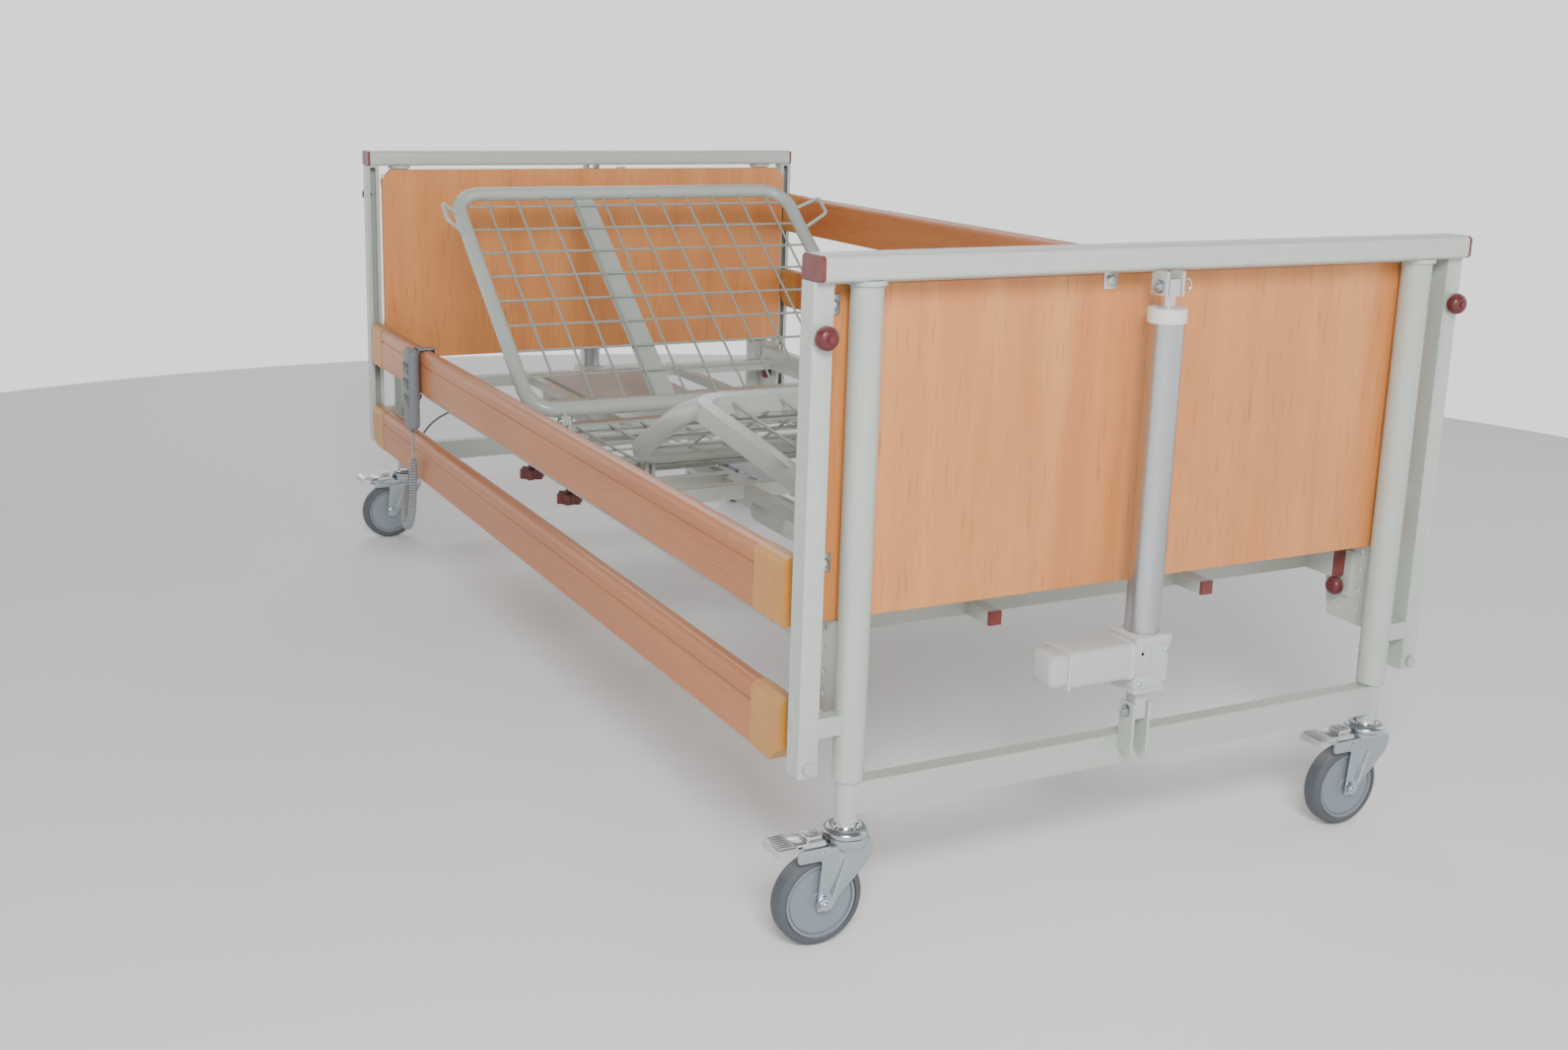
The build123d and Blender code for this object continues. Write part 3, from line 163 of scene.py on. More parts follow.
def make_surface_group():
    """Fine mottling, dust on faces that look up, and a speckled height."""
    group, given, out = new_group("surface_life", [
        ("Colour", "NodeSocketColor", (0.5, 0.5, 0.5, 1)), ("Variation", "NodeSocketFloat", 0.1),
        ("Scale", "NodeSocketFloat", 40.0), ("Dust", "NodeSocketFloat", 0.1),
        ("Roughness", "NodeSocketFloat", 0.4)],
        [("Colour", "NodeSocketColor"), ("Roughness", "NodeSocketFloat"), ("Height", "NodeSocketFloat")])
    place = node(group, "ShaderNodeTexCoord")
    broad = node(group, "ShaderNodeTexNoise", {"Vector": place.outputs["Object"]}, Scale=5.0, Detail=5.0)
    fine = node(group, "ShaderNodeTexNoise", {"Vector": place.outputs["Object"],
                                              "Scale": given.outputs["Scale"]}, Detail=3.0)
    blend = node(group, "ShaderNodeMath", {0: broad.outputs[0], 1: fine.outputs[0]}, operation="ADD")
    centred = node(group, "ShaderNodeMath", {0: blend.outputs[0]}, operation="SUBTRACT")
    centred.inputs[1].default_value = 1.0
    amount = node(group, "ShaderNodeMath", {0: centred.outputs[0], 1: given.outputs["Variation"]},
                  operation="MULTIPLY")
    bright = node(group, "ShaderNodeMath", {0: amount.outputs[0]}, operation="ADD")
    bright.inputs[1].default_value = 1.0
    tint = node(group, "ShaderNodeVectorMath", {0: given.outputs["Colour"], 1: bright.outputs[0]},
                operation="MULTIPLY")
    facing = node(group, "ShaderNodeNewGeometry")
    split = node(group, "ShaderNodeSeparateXYZ", {0: facing.outputs["Normal"]})
    upward = node(group, "ShaderNodeMapRange", {"Value": split.outputs["Z"]}, From_Min=0.55, From_Max=1.0)
    patch = node(group, "ShaderNodeMath", {0: upward.outputs[0], 1: broad.outputs[0]}, operation="MULTIPLY")
    dust = node(group, "ShaderNodeMath", {0: patch.outputs[0], 1: given.outputs["Dust"]},
                operation="MULTIPLY")
    dusty = mixed(group, dust.outputs[0], tint.outputs[0], (0.80, 0.79, 0.76, 1))
    rough = node(group, "ShaderNodeMath", {0: amount.outputs[0], 1: given.outputs["Roughness"]},
                 operation="ADD")
    group.links.new(dusty, out.inputs["Colour"])
    group.links.new(rough.outputs[0], out.inputs["Roughness"])
    group.links.new(fine.outputs[0], out.inputs["Height"])
    return group


def make_wear_group():
    """Brighter, worn convex edges, broken up by noise."""
    group, given, out = new_group("edge_wear", [
        ("Colour", "NodeSocketColor", (0.5, 0.5, 0.5, 1)), ("Worn", "NodeSocketColor", (0.7, 0.7, 0.7, 1)),
        ("Amount", "NodeSocketFloat", 0.4)], [("Colour", "NodeSocketColor"), ("Mask", "NodeSocketFloat")])
    facing = node(group, "ShaderNodeNewGeometry")
    place = node(group, "ShaderNodeTexCoord")
    noise = node(group, "ShaderNodeTexNoise", {"Vector": place.outputs["Object"]}, Scale=60.0, Detail=4.0)
    edge = node(group, "ShaderNodeMapRange", {"Value": facing.outputs["Pointiness"]},
                From_Min=0.52, From_Max=0.62)
    broken = node(group, "ShaderNodeMath", {0: edge.outputs[0], 1: noise.outputs[0]}, operation="MULTIPLY")
    mask = node(group, "ShaderNodeMath", {0: broken.outputs[0], 1: given.outputs["Amount"]},
                operation="MULTIPLY")
    worn = mixed(group, mask.outputs[0], given.outputs["Colour"], given.outputs["Worn"])
    group.links.new(worn, out.inputs["Colour"])
    group.links.new(mask.outputs[0], out.inputs["Mask"])
    return group


def make_grain_group():
    """Beech figure: long soft bands and short dark flecks that run along one axis."""
    group, given, out = new_group("beech_grain", [
        ("Vector", "NodeSocketVector", None), ("Light", "NodeSocketColor", (0.8, 0.45, 0.2, 1)),
        ("Dark", "NodeSocketColor", (0.6, 0.3, 0.12, 1)), ("Fleck", "NodeSocketColor", (0.4, 0.2, 0.1, 1))],
        [("Colour", "NodeSocketColor"), ("Height", "NodeSocketFloat")])
    long = node(group, "ShaderNodeMapping", {"Vector": given.outputs["Vector"]})
    long.inputs["Scale"].default_value = (9.0, 9.0, 0.7)
    bands = node(group, "ShaderNodeTexNoise", {"Vector": long.outputs[0]}, Scale=2.2, Detail=5.0,
                 Roughness=0.55, Distortion=0.6)
    band = node(group, "ShaderNodeMapRange", {"Value": bands.outputs[0]}, From_Min=0.30, From_Max=0.70)
    short = node(group, "ShaderNodeMapping", {"Vector": given.outputs["Vector"]})
    short.inputs["Scale"].default_value = (260.0, 260.0, 16.0)
    specks = node(group, "ShaderNodeTexNoise", {"Vector": short.outputs[0]}, Scale=1.0, Detail=2.0)
    speck = node(group, "ShaderNodeMapRange", {"Value": specks.outputs[0]}, From_Min=0.60, From_Max=0.72,
                 To_Max=0.55)
    figure = mixed(group, band.outputs[0], given.outputs["Light"], given.outputs["Dark"])
    flecked = mixed(group, speck.outputs[0], figure, given.outputs["Fleck"])
    group.links.new(flecked, out.inputs["Colour"])
    group.links.new(specks.outputs[0], out.inputs["Height"])
    return group


# ---- materials ----------------------------------------------------------------------
def plain_material(name, colour, roughness):
    """A one-colour finish, for what isn't part of the bed."""
    material = bpy.data.materials.new(name)
    material.use_nodes = True
    shader = material.node_tree.nodes["Principled BSDF"]
    shader.inputs["Base Color"].default_value = (*colour, 1)
    shader.inputs["Roughness"].default_value = roughness
    return material


def coated(name, colour, roughness, metallic=0.0, scale=180.0, variation=0.08, dust=0.12, bump=0.05,
           coat=0.0, worn=None, wear=0.0):
    """A painted, plated or moulded finish with mottling, dust, worn edges and a fine height."""
    material = bpy.data.materials.new(name)
    material.use_nodes = True
    tree = material.node_tree
    shader = tree.nodes["Principled BSDF"]
    shader.inputs["Metallic"].default_value = metallic
    if coat:
        shader.inputs["Coat Weight"].default_value = coat
        shader.inputs["Coat Roughness"].default_value = 0.12
    life = node(tree, "ShaderNodeGroup", node_tree=groups["surface"])
    life.inputs["Colour"].default_value = (*colour, 1)
    life.inputs["Variation"].default_value = variation
    life.inputs["Scale"].default_value = scale
    life.inputs["Dust"].default_value = dust
    life.inputs["Roughness"].default_value = roughness
    colour_out = life.outputs["Colour"]
    if worn:
        edge = node(tree, "ShaderNodeGroup", node_tree=groups["wear"])
        tree.links.new(colour_out, edge.inputs["Colour"])
        edge.inputs["Worn"].default_value = (*worn, 1)
        edge.inputs["Amount"].default_value = wear
        colour_out = edge.outputs["Colour"]
    tree.links.new(colour_out, shader.inputs["Base Color"])
    tree.links.new(life.outputs["Roughness"], shader.inputs["Roughness"])
    height = node(tree, "ShaderNodeBump", {"Height": life.outputs["Height"]}, Strength=bump)
    height.inputs["Distance"].default_value = 0.0006
    tree.links.new(height.outputs[0], shader.inputs["Normal"])
    return material


def wooden(name, light, dark, fleck, turn, roughness, coat):
    """A beech finish; turn lays the grain along the piece."""
    material = bpy.data.materials.new(name)
    material.use_nodes = True
    tree = material.node_tree
    shader = tree.nodes["Principled BSDF"]
    shader.inputs["Coat Weight"].default_value = coat
    shader.inputs["Coat Roughness"].default_value = 0.18
    place = node(tree, "ShaderNodeTexCoord")
    along = node(tree, "ShaderNodeMapping", {"Vector": place.outputs["Object"]})
    along.inputs["Rotation"].default_value = turn
    grain = node(tree, "ShaderNodeGroup", {"Vector": along.outputs[0]}, node_tree=groups["grain"])
    grain.inputs["Light"].default_value = (*light, 1)
    grain.inputs["Dark"].default_value = (*dark, 1)
    grain.inputs["Fleck"].default_value = (*fleck, 1)
    life = node(tree, "ShaderNodeGroup", {"Colour": grain.outputs["Colour"]}, node_tree=groups["surface"])
    life.inputs["Variation"].default_value = 0.10
    life.inputs["Scale"].default_value = 12.0
    life.inputs["Dust"].default_value = 0.05
    life.inputs["Roughness"].default_value = roughness
    tree.links.new(life.outputs["Colour"], shader.inputs["Base Color"])
    tree.links.new(life.outputs["Roughness"], shader.inputs["Roughness"])
    height = node(tree, "ShaderNodeBump", {"Height": grain.outputs["Height"]}, Strength=0.06)
    height.inputs["Distance"].default_value = 0.0004
    tree.links.new(height.outputs[0], shader.inputs["Normal"])
    return material


bpy.ops.object.select_all(action="DESELECT")
groups = {"surface": make_surface_group(), "wear": make_wear_group(), "grain": make_grain_group()}
GRAIN_UP = (0, 0, 0)
GRAIN_ALONG = (radians(90), 0, 0)
PAINT = (0.43, 0.475, 0.43)
finishes = {
    "powder_coat": coated("powder_coat", PAINT, 0.34, scale=420, variation=0.05, coat=0.15,
                          worn=(0.66, 0.69, 0.66), wear=0.5),
    # mesh_wire is the powder coat darkened to about three quarters: painted shade for the shade that falls
    # on the backrest mesh
    "mesh_wire": coated("mesh_wire", (0.33, 0.36, 0.325), 0.40, scale=420, variation=0.06, coat=0.1),
    "beech_panel": wooden("beech_panel", (0.70, 0.29, 0.095), (0.59, 0.215, 0.060), (0.40, 0.14, 0.04),
                          GRAIN_UP, 0.42, 0.10),
    "rail_wood": wooden("rail_wood", (0.54, 0.195, 0.068), (0.44, 0.145, 0.045), (0.30, 0.10, 0.035),
                        GRAIN_ALONG, 0.40, 0.15),
    "ochre_plastic": coated("ochre_plastic", (0.50, 0.22, 0.045), 0.42, scale=90, variation=0.06,
                            worn=(0.70, 0.42, 0.16), wear=0.5),
    "maroon_plastic": coated("maroon_plastic", (0.115, 0.016, 0.018), 0.36, scale=120, variation=0.12,
                             worn=(0.30, 0.09, 0.08), wear=0.6),
    "zinc": coated("zinc", (0.40, 0.46, 0.50), 0.20, metallic=0.95, scale=60, variation=0.14,
                   worn=(0.80, 0.82, 0.84), wear=0.6),
    "bright_steel": coated("bright_steel", (0.66, 0.67, 0.68), 0.22, metallic=1.0, scale=200,
                           variation=0.08, dust=0.05),
    "tyre": coated("tyre", (0.075, 0.085, 0.098), 0.62, scale=160, variation=0.12, dust=0.25, bump=0.12),
    "aluminium": coated("aluminium", (0.50, 0.52, 0.535), 0.30, metallic=1.0, scale=300, variation=0.05),
    "grey_plastic": coated("grey_plastic", (0.47, 0.50, 0.49), 0.46, scale=700, variation=0.05,
                           bump=0.12, worn=(0.62, 0.64, 0.63), wear=0.4),
    "nylon": coated("nylon", (0.70, 0.69, 0.64), 0.5, scale=80),
    "handset_plastic": coated("handset_plastic", (0.15, 0.165, 0.18), 0.44, scale=700, variation=0.06,
                              bump=0.12, worn=(0.42, 0.44, 0.45), wear=0.5),
    "rocker_plastic": coated("rocker_plastic", (0.045, 0.055, 0.075), 0.38, scale=300, variation=0.08),
    "cord_rubber": coated("cord_rubber", (0.27, 0.28, 0.29), 0.48, scale=120, variation=0.06),
    "wheel_core": coated("wheel_core", (0.20, 0.235, 0.265), 0.40, scale=200, variation=0.08, dust=0.1),
}
place_camera()
make_studio()

slots = {row["node"]: row["material_slot"] for row in frame["record"]["subparts"]}
for name, thing in nodes.items():
    thing.data.materials.clear()
    thing.data.materials.append(finishes[slots[name]])


# ---- modelling helpers --------------------------------------------------------------
# a plate's outline is drawn in XY; this stands it up in XZ
UPRIGHT = Matrix(((1, 0, 0, 0), (0, 0, -1, 0), (0, 1, 0, 0), (0, 0, 0, 1)))


def select_alone(piece):
    """Selects one piece and nothing else, because operators act on all that is selected."""
    bpy.ops.object.select_all(action="DESELECT")
    piece.select_set(True)
    bpy.context.view_layer.objects.active = piece


def settled(piece, place=(0, 0, 0), aim=(0, 0, 1), turn=0.0):
    """Moves a piece built along Z to its place and aim, and applies that to its mesh."""
    spin = Vector(aim).to_track_quat("Z", "Y").to_matrix().to_4x4() @ Matrix.Rotation(turn, 4, "Z")
    piece.matrix_world = Matrix.Translation(place) @ spin
    select_alone(piece)
    bpy.ops.object.transform_apply(location=True, rotation=True, scale=True)
    return piece


def bevelled(piece, width, segments=2):
    """Rounds the piece's sharp edges."""
    rounding = piece.modifiers.new("rounding", "BEVEL")
    rounding.width = width
    rounding.segments = segments
    rounding.limit_method = "ANGLE"
    rounding.angle_limit = radians(35)
    select_alone(piece)
    bpy.ops.object.modifier_apply(modifier=rounding.name)
    return piece


def box_piece(low, high, rounding=0.001, segments=2):
    """A rounded box between two corners."""
    low, high = Vector(low), Vector(high)
    bpy.ops.object.select_all(action="DESELECT")
    bpy.ops.mesh.primitive_cube_add(size=1, location=(low + high) / 2)
    piece = bpy.context.object
    piece.scale = [max(abs(c), 1e-5) for c in high - low]
    bpy.ops.object.transform_apply(location=True, rotation=True, scale=True)
    if rounding:
        bevelled(piece, rounding, segments)
    return piece


def lathe(rings, sides=40, closed=False):
    """A turned piece about Z: rings are (height, radius) pairs; closed joins last to first."""
    bpy.ops.object.select_all(action="DESELECT")
    height, radius = rings[0]
    bpy.ops.mesh.primitive_circle_add(vertices=sides, radius=radius, fill_type="NOTHING",
                                      location=(0, 0, height))
    piece = bpy.context.object
    bpy.ops.object.transform_apply(location=True, rotation=True, scale=True)
    bpy.ops.object.mode_set(mode="EDIT")
    bpy.ops.mesh.select_all(action="SELECT")
    for next_height, next_radius in rings[1:]:
        bpy.ops.mesh.extrude_region_move(
            TRANSFORM_OT_translate={"value": (0, 0, next_height - height)})
        scale = next_radius / radius
        bpy.ops.transform.resize(value=(scale, scale, 1), center_override=(0, 0, 0))
        height, radius = next_height, next_radius
    bpy.ops.mesh.select_all(action="DESELECT")
    bpy.ops.mesh.select_mode(type="EDGE")
    bpy.ops.mesh.select_non_manifold()
    if closed:
        bpy.ops.mesh.bridge_edge_loops()
    else:
        bpy.ops.mesh.fill_holes(sides=0)
    bpy.ops.mesh.select_all(action="SELECT")
    bpy.ops.mesh.normals_make_consistent(inside=False)
    bpy.ops.object.mode_set(mode="OBJECT")
    return piece


def plate(outline, thick, rounding=0.0008):
    """A flat plate in XY from its outline's points, extruded up Z."""
    bpy.ops.object.select_all(action="DESELECT")
    bpy.ops.mesh.primitive_circle_add(vertices=len(outline), radius=1, fill_type="NGON")
    piece = bpy.context.object
    for corner, (x, y) in zip(piece.data.vertices, outline):
        corner.co = (x, y, 0)
    bpy.ops.object.mode_set(mode="EDIT")
    bpy.ops.mesh.select_all(action="SELECT")
    bpy.ops.mesh.extrude_region_move(TRANSFORM_OT_translate={"value": (0, 0, thick)})
    bpy.ops.mesh.select_all(action="SELECT")
    bpy.ops.mesh.normals_make_consistent(inside=False)
    bpy.ops.object.mode_set(mode="OBJECT")
    return bevelled(piece, rounding) if rounding else piece


def rounded_outline(corners, radius, steps=4):
    """An outline whose corners are replaced by short arcs."""
    points = []
    count = len(corners)
    for index in range(count):
        before, here, after = (Vector(corners[(index + k) % count]) for k in (-1, 0, 1))
        one, two = (before - here).normalized(), (after - here).normalized()
        reach = min(radius, 0.45 * (before - here).length, 0.45 * (after - here).length)
        for step in range(steps + 1):
            t = step / steps
            points.append(here + one * reach * (1 - t) ** 2 + two * reach * t ** 2)
    return [(p.x, p.y) for p in points]


def joined(*parts):
    """Several meshes as one object."""
    bpy.ops.object.select_all(action="DESELECT")
    for part in parts:
        part.select_set(True)
    bpy.context.view_layer.objects.active = parts[0]
    if len(parts) > 1:
        bpy.ops.object.join()
    return parts[0]


def hex_nut(place, aim, across, height, stud=0.0):
    """A hexagon nut or bolt head with a washer and, if asked, the bolt's end."""
    half = across / 2 / cos(pi / 6)
    nut = lathe([(0.0012, half * 0.96), (0.0017, half), (height - 0.0006, half),
                 (height, half * 0.93)], 6)
    washer = lathe([(0, half * 1.12), (0.0003, half * 1.16), (0.0010, half * 1.16),
                    (0.0013, half * 1.12)], 28)
    parts = [nut, washer]
    if stud:
        parts.append(lathe([(0, across * 0.27), (height + stud - 0.0006, across * 0.27),
                            (height + stud, across * 0.22)], 20))
    return settled(joined(*parts), place, aim)


def finished(piece, name, finish, body, replaced=(), smooth=32):
    """Names a piece, gives it its finish and its body, and takes the place of CAD nodes."""
    piece.name = name
    piece.data.name = name
    piece.data.materials.clear()
    piece.data.materials.append(finishes[finish])
    select_alone(piece)
    bpy.ops.object.shade_smooth_by_angle(angle=radians(smooth))
    if body:
        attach(piece, body)
    # the wheel's core is a finish of its own inside the record's tyre slot
    if replaced:
        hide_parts(*replaced)
    return piece


def copied(template, matrix):
    """A copy of a template with a mesh of its own, moved in its mesh."""
    twin = template.copy()
    twin.data = template.data.copy()
    twin.data.transform(matrix)
    bpy.context.scene.collection.objects.link(twin)
    return twin


def dropped(*templates):
    """Removes templates that have been copied to every place."""
    for template in templates:
        bpy.data.objects.remove(template, do_unlink=True)


# ---- castors ------------------------------------------------------------------------
wheel_low, wheel_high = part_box("castor_wheel_foot_near")
WHEEL_R = (wheel_high.z - wheel_low.z) / 2
AXLE_Z = (wheel_high.z + wheel_low.z) / 2
WHEEL_HALF = (wheel_high.y - wheel_low.y) / 2
LEG_X = 0.457
LEG_Y = 1.050
TRAIL = MIDDLE_X - LEG_X - (wheel_high.x + wheel_low.x) / 2
CHEEK_IN, CHEEK_OUT = 0.018, 0.021
CROWN_TOP, CROWN_LOW = 0.141, 0.123
CROWN_FRONT, CROWN_BACK = 0.0315, -0.079
PEDAL_PIN_X, PEDAL_PIN_Z = -0.043, 0.133
PEDAL_TOP, PEDAL_END = 0.149, -0.109


def tyre_template():
    """A grey rubber tyre with a round shoulder, standing on its groove."""
    core_r, shoulder = WHEEL_R - 0.0095, 0.009
    half, rings = WHEEL_HALF, []
    rings.append((-half + 0.003, core_r - 0.0022))
    rings.append((-half, core_r - 0.0010))
    for step in range(7):
        angle = step / 6 * pi / 2
        rings.append((-half + shoulder * (1 - cos(angle)), WHEEL_R - shoulder * (1 - sin(angle))))
    rings += [(-height, radius) for height, radius in reversed(rings)]
    return settled(lathe(rings, 64, closed=True), (-TRAIL, 0, AXLE_Z), (0, 1, 0))


def core_template():
    """The wheel's moulded core: a flat web, a groove and a raised rim inside the tyre."""
    half, rim = WHEEL_HALF, WHEEL_R - 0.0117
    side = [(0.0132, 0.0062), (0.0132, 0.0120), (0.0122, 0.0132), (0.0118, rim - 0.0062),
            (0.0102, rim - 0.0056), (0.0102, rim - 0.0046), (half - 0.0012, rim - 0.0038),
            (half - 0.0008, rim - 0.0030), (half - 0.0008, rim - 0.0012), (half - 0.0014, rim - 0.0004),
            (0.0100, rim)]
    rings = [(-height, radius) for height, radius in side] + list(reversed(side))
    return settled(lathe(rings, 64, closed=True), (-TRAIL, 0, AXLE_Z), (0, 1, 0))


def fork_template():
    """Pressed cheeks, crown, shoulder and swivel head, with the axle and its nuts."""
    x, parts = -TRAIL, []
    corners = [(CROWN_FRONT, CROWN_TOP), (CROWN_BACK, CROWN_TOP), (CROWN_BACK, CROWN_LOW),
               (x - 0.004, CROWN_LOW), (x - 0.010, AXLE_Z - 0.011), (x + 0.012, AXLE_Z - 0.011),
               (x + 0.022, AXLE_Z + 0.006), (0.0265, 0.112), (CROWN_FRONT, 0.124)]
    for face in SIDES:
        cheek = plate(rounded_outline(corners, 0.005), CHEEK_OUT - CHEEK_IN, 0.0009)
        y = face * CHEEK_IN + (CHEEK_OUT - CHEEK_IN if face > 0 else 0)
        cheek.data.transform(Matrix.Translation((0, y, 0)) @ UPRIGHT)
        parts.append(cheek)
        # a pressed rib that stiffens the cheek, and the axle's nut
        rib = lathe([(0, 0.0052), (0.050, 0.0040)], 16)
        rib.data.transform(Matrix.Diagonal((1, 0.28, 1, 1)))
        parts.append(settled(rib, (x + 0.012, face * CHEEK_OUT, AXLE_Z + 0.010), (0.36, 0, 1)))
        parts.append(hex_nut((x, face * CHEEK_OUT, AXLE_Z), (0, face, 0), 0.015, 0.0062, 0.0016))
        parts.append(settled(lathe([(0, 0.0040), (0.0012, 0.0040), (0.0019, 0.0030)], 18),
                             (PEDAL_PIN_X, face * CHEEK_OUT, PEDAL_PIN_Z), (0, face, 0)))
    parts.append(box_piece((-0.034, -CHEEK_OUT, CROWN_TOP - 0.003),
                           (0.022, CHEEK_OUT, CROWN_TOP), 0.001))
    parts.append(settled(lathe([(0, 0.0055), (2 * CHEEK_IN + 0.004, 0.0055)], 20),
                         (x, -CHEEK_IN - 0.002, AXLE_Z), (0, 1, 0)))
    parts.append(settled(lathe([(0, 0.0030), (2 * CHEEK_IN + 0.004, 0.0030)], 16),
                         (PEDAL_PIN_X, -CHEEK_IN - 0.002, PEDAL_PIN_Z), (0, 1, 0)))
    # the shoulder that the cheeks grow out of, and the lower shell of the ball race
    parts.append(lathe([(0.1275, 0.0225), (0.1290, 0.0262), (0.1340, 0.0292), (0.1385, 0.0312),
                        (0.1430, 0.0318), (0.1462, 0.0314), (0.1474, 0.0298)], 56))
    # upper shell: a domed ring with a lip, open in the middle
    parts.append(lathe([(0.1466, 0.0290), (0.1478, 0.0306), (0.1500, 0.0310), (0.1528, 0.0302),
                        (0.1556, 0.0278), (0.1572, 0.0244), (0.1578, 0.0206), (0.1570, 0.0186),
                        (0.1540, 0.0180), (0.1466, 0.0200)], 56, closed=True))
    return joined(*parts)


def race_template():
    """The hub in the swivel head and the ring of balls round it."""
    parts = [lathe([(0.1475, 0.0150), (0.1560, 0.0150), (0.1572, 0.0142), (0.1590, 0.0132),
                    (0.1626, 0.0130)], 40)]
    for step in range(14):
        angle = 2 * pi * step / 14
        bpy.ops.mesh.primitive_uv_sphere_add(segments=12, ring_count=8, radius=0.0026,
                                             location=(0.0172 * cos(angle), 0.0172 * sin(angle), 0.1560))
        ball = bpy.context.object
        bpy.ops.object.transform_apply(location=True, rotation=True, scale=True)
        parts.append(ball)
    return joined(*parts)


def pedal_template():
    """Pressed brake pedal: ribbed tread, curled lip, webs, brake shoe and release tab."""
    wide, slim = 0.0225, 0.0165
    parts = [box_piece((PEDAL_END, -wide, 0.1455), (-0.080, wide, PEDAL_TOP), 0.0014, 3),
             box_piece((-0.084, -slim, 0.1452), (-0.038, slim, PEDAL_TOP), 0.0010),
             box_piece((PEDAL_END, -wide, 0.1370), (-0.1062, wide, 0.1480), 0.0012),
             box_piece((-0.062, -0.010, 0.1272), (-0.056, 0.010, 0.146), 0.0010),
             box_piece((-0.063, -0.0125, 0.148), (-0.040, 0.0125, 0.1560), 0.0024, 3)]
    for step in range(7):
        y = -0.018 + 0.006 * step
        parts.append(box_piece((-0.1065, y - 0.0011, 0.1485), (-0.0825, y + 0.0011, 0.1506), 0.0006))
    for step in range(3):
        x = -0.058 + 0.006 * step
        parts.append(box_piece((x - 0.0012, -0.0105, 0.1555), (x + 0.0012, 0.0105, 0.1572), 0.0006))
    for face in SIDES:
        web = [(-0.056, 0.128), (-0.036, 0.128), (-0.036, 0.147), (-0.070, 0.147), (-0.070, 0.141)]
        side = plate(rounded_outline(web, 0.004), 0.003, 0.0006)
        y = face * slim if face > 0 else -slim + 0.003
        side.data.transform(Matrix.Translation((0, y, 0)) @ UPRIGHT)
        parts.append(side)
    return joined(*parts)


def make_castors():
    """Four braked castors, copied from one."""
    tyre, core, fork, race, pedal = (tyre_template(), core_template(), fork_template(),
                                     race_template(), pedal_template())
    for place, (side, end) in PLACES.items():
        here = Matrix.Translation((MIDDLE_X + side * LEG_X, end * LEG_Y, 0))
        finished(copied(tyre, here), f"tyre_{place}", "tyre", f"wheel_{place}",
                 [f"castor_wheel_{place}"], 40)
        finished(copied(core, here), f"wheel_core_{place}", "wheel_core", f"wheel_{place}", (), 28)
        finished(copied(fork, here), f"fork_{place}", "zinc", f"swivel_{place}", [f"castor_fork_{place}"])
        finished(copied(race, here), f"ball_race_{place}", "bright_steel", f"swivel_{place}")
        finished(copied(pedal, here), f"pedal_{place}", "bright_steel", f"brake_{place}",
                 [f"castor_brake_{place}"])
    dropped(tyre, core, fork, race, pedal)


make_castors()


# ---- lifting columns ----------------------------------------------------------------
COLUMN_X, COLUMN_Y = -0.019, -1.080
MOTOR_END = -0.187
BASE_PIN_Z, ROD_PIN_Z = 0.261, 0.846


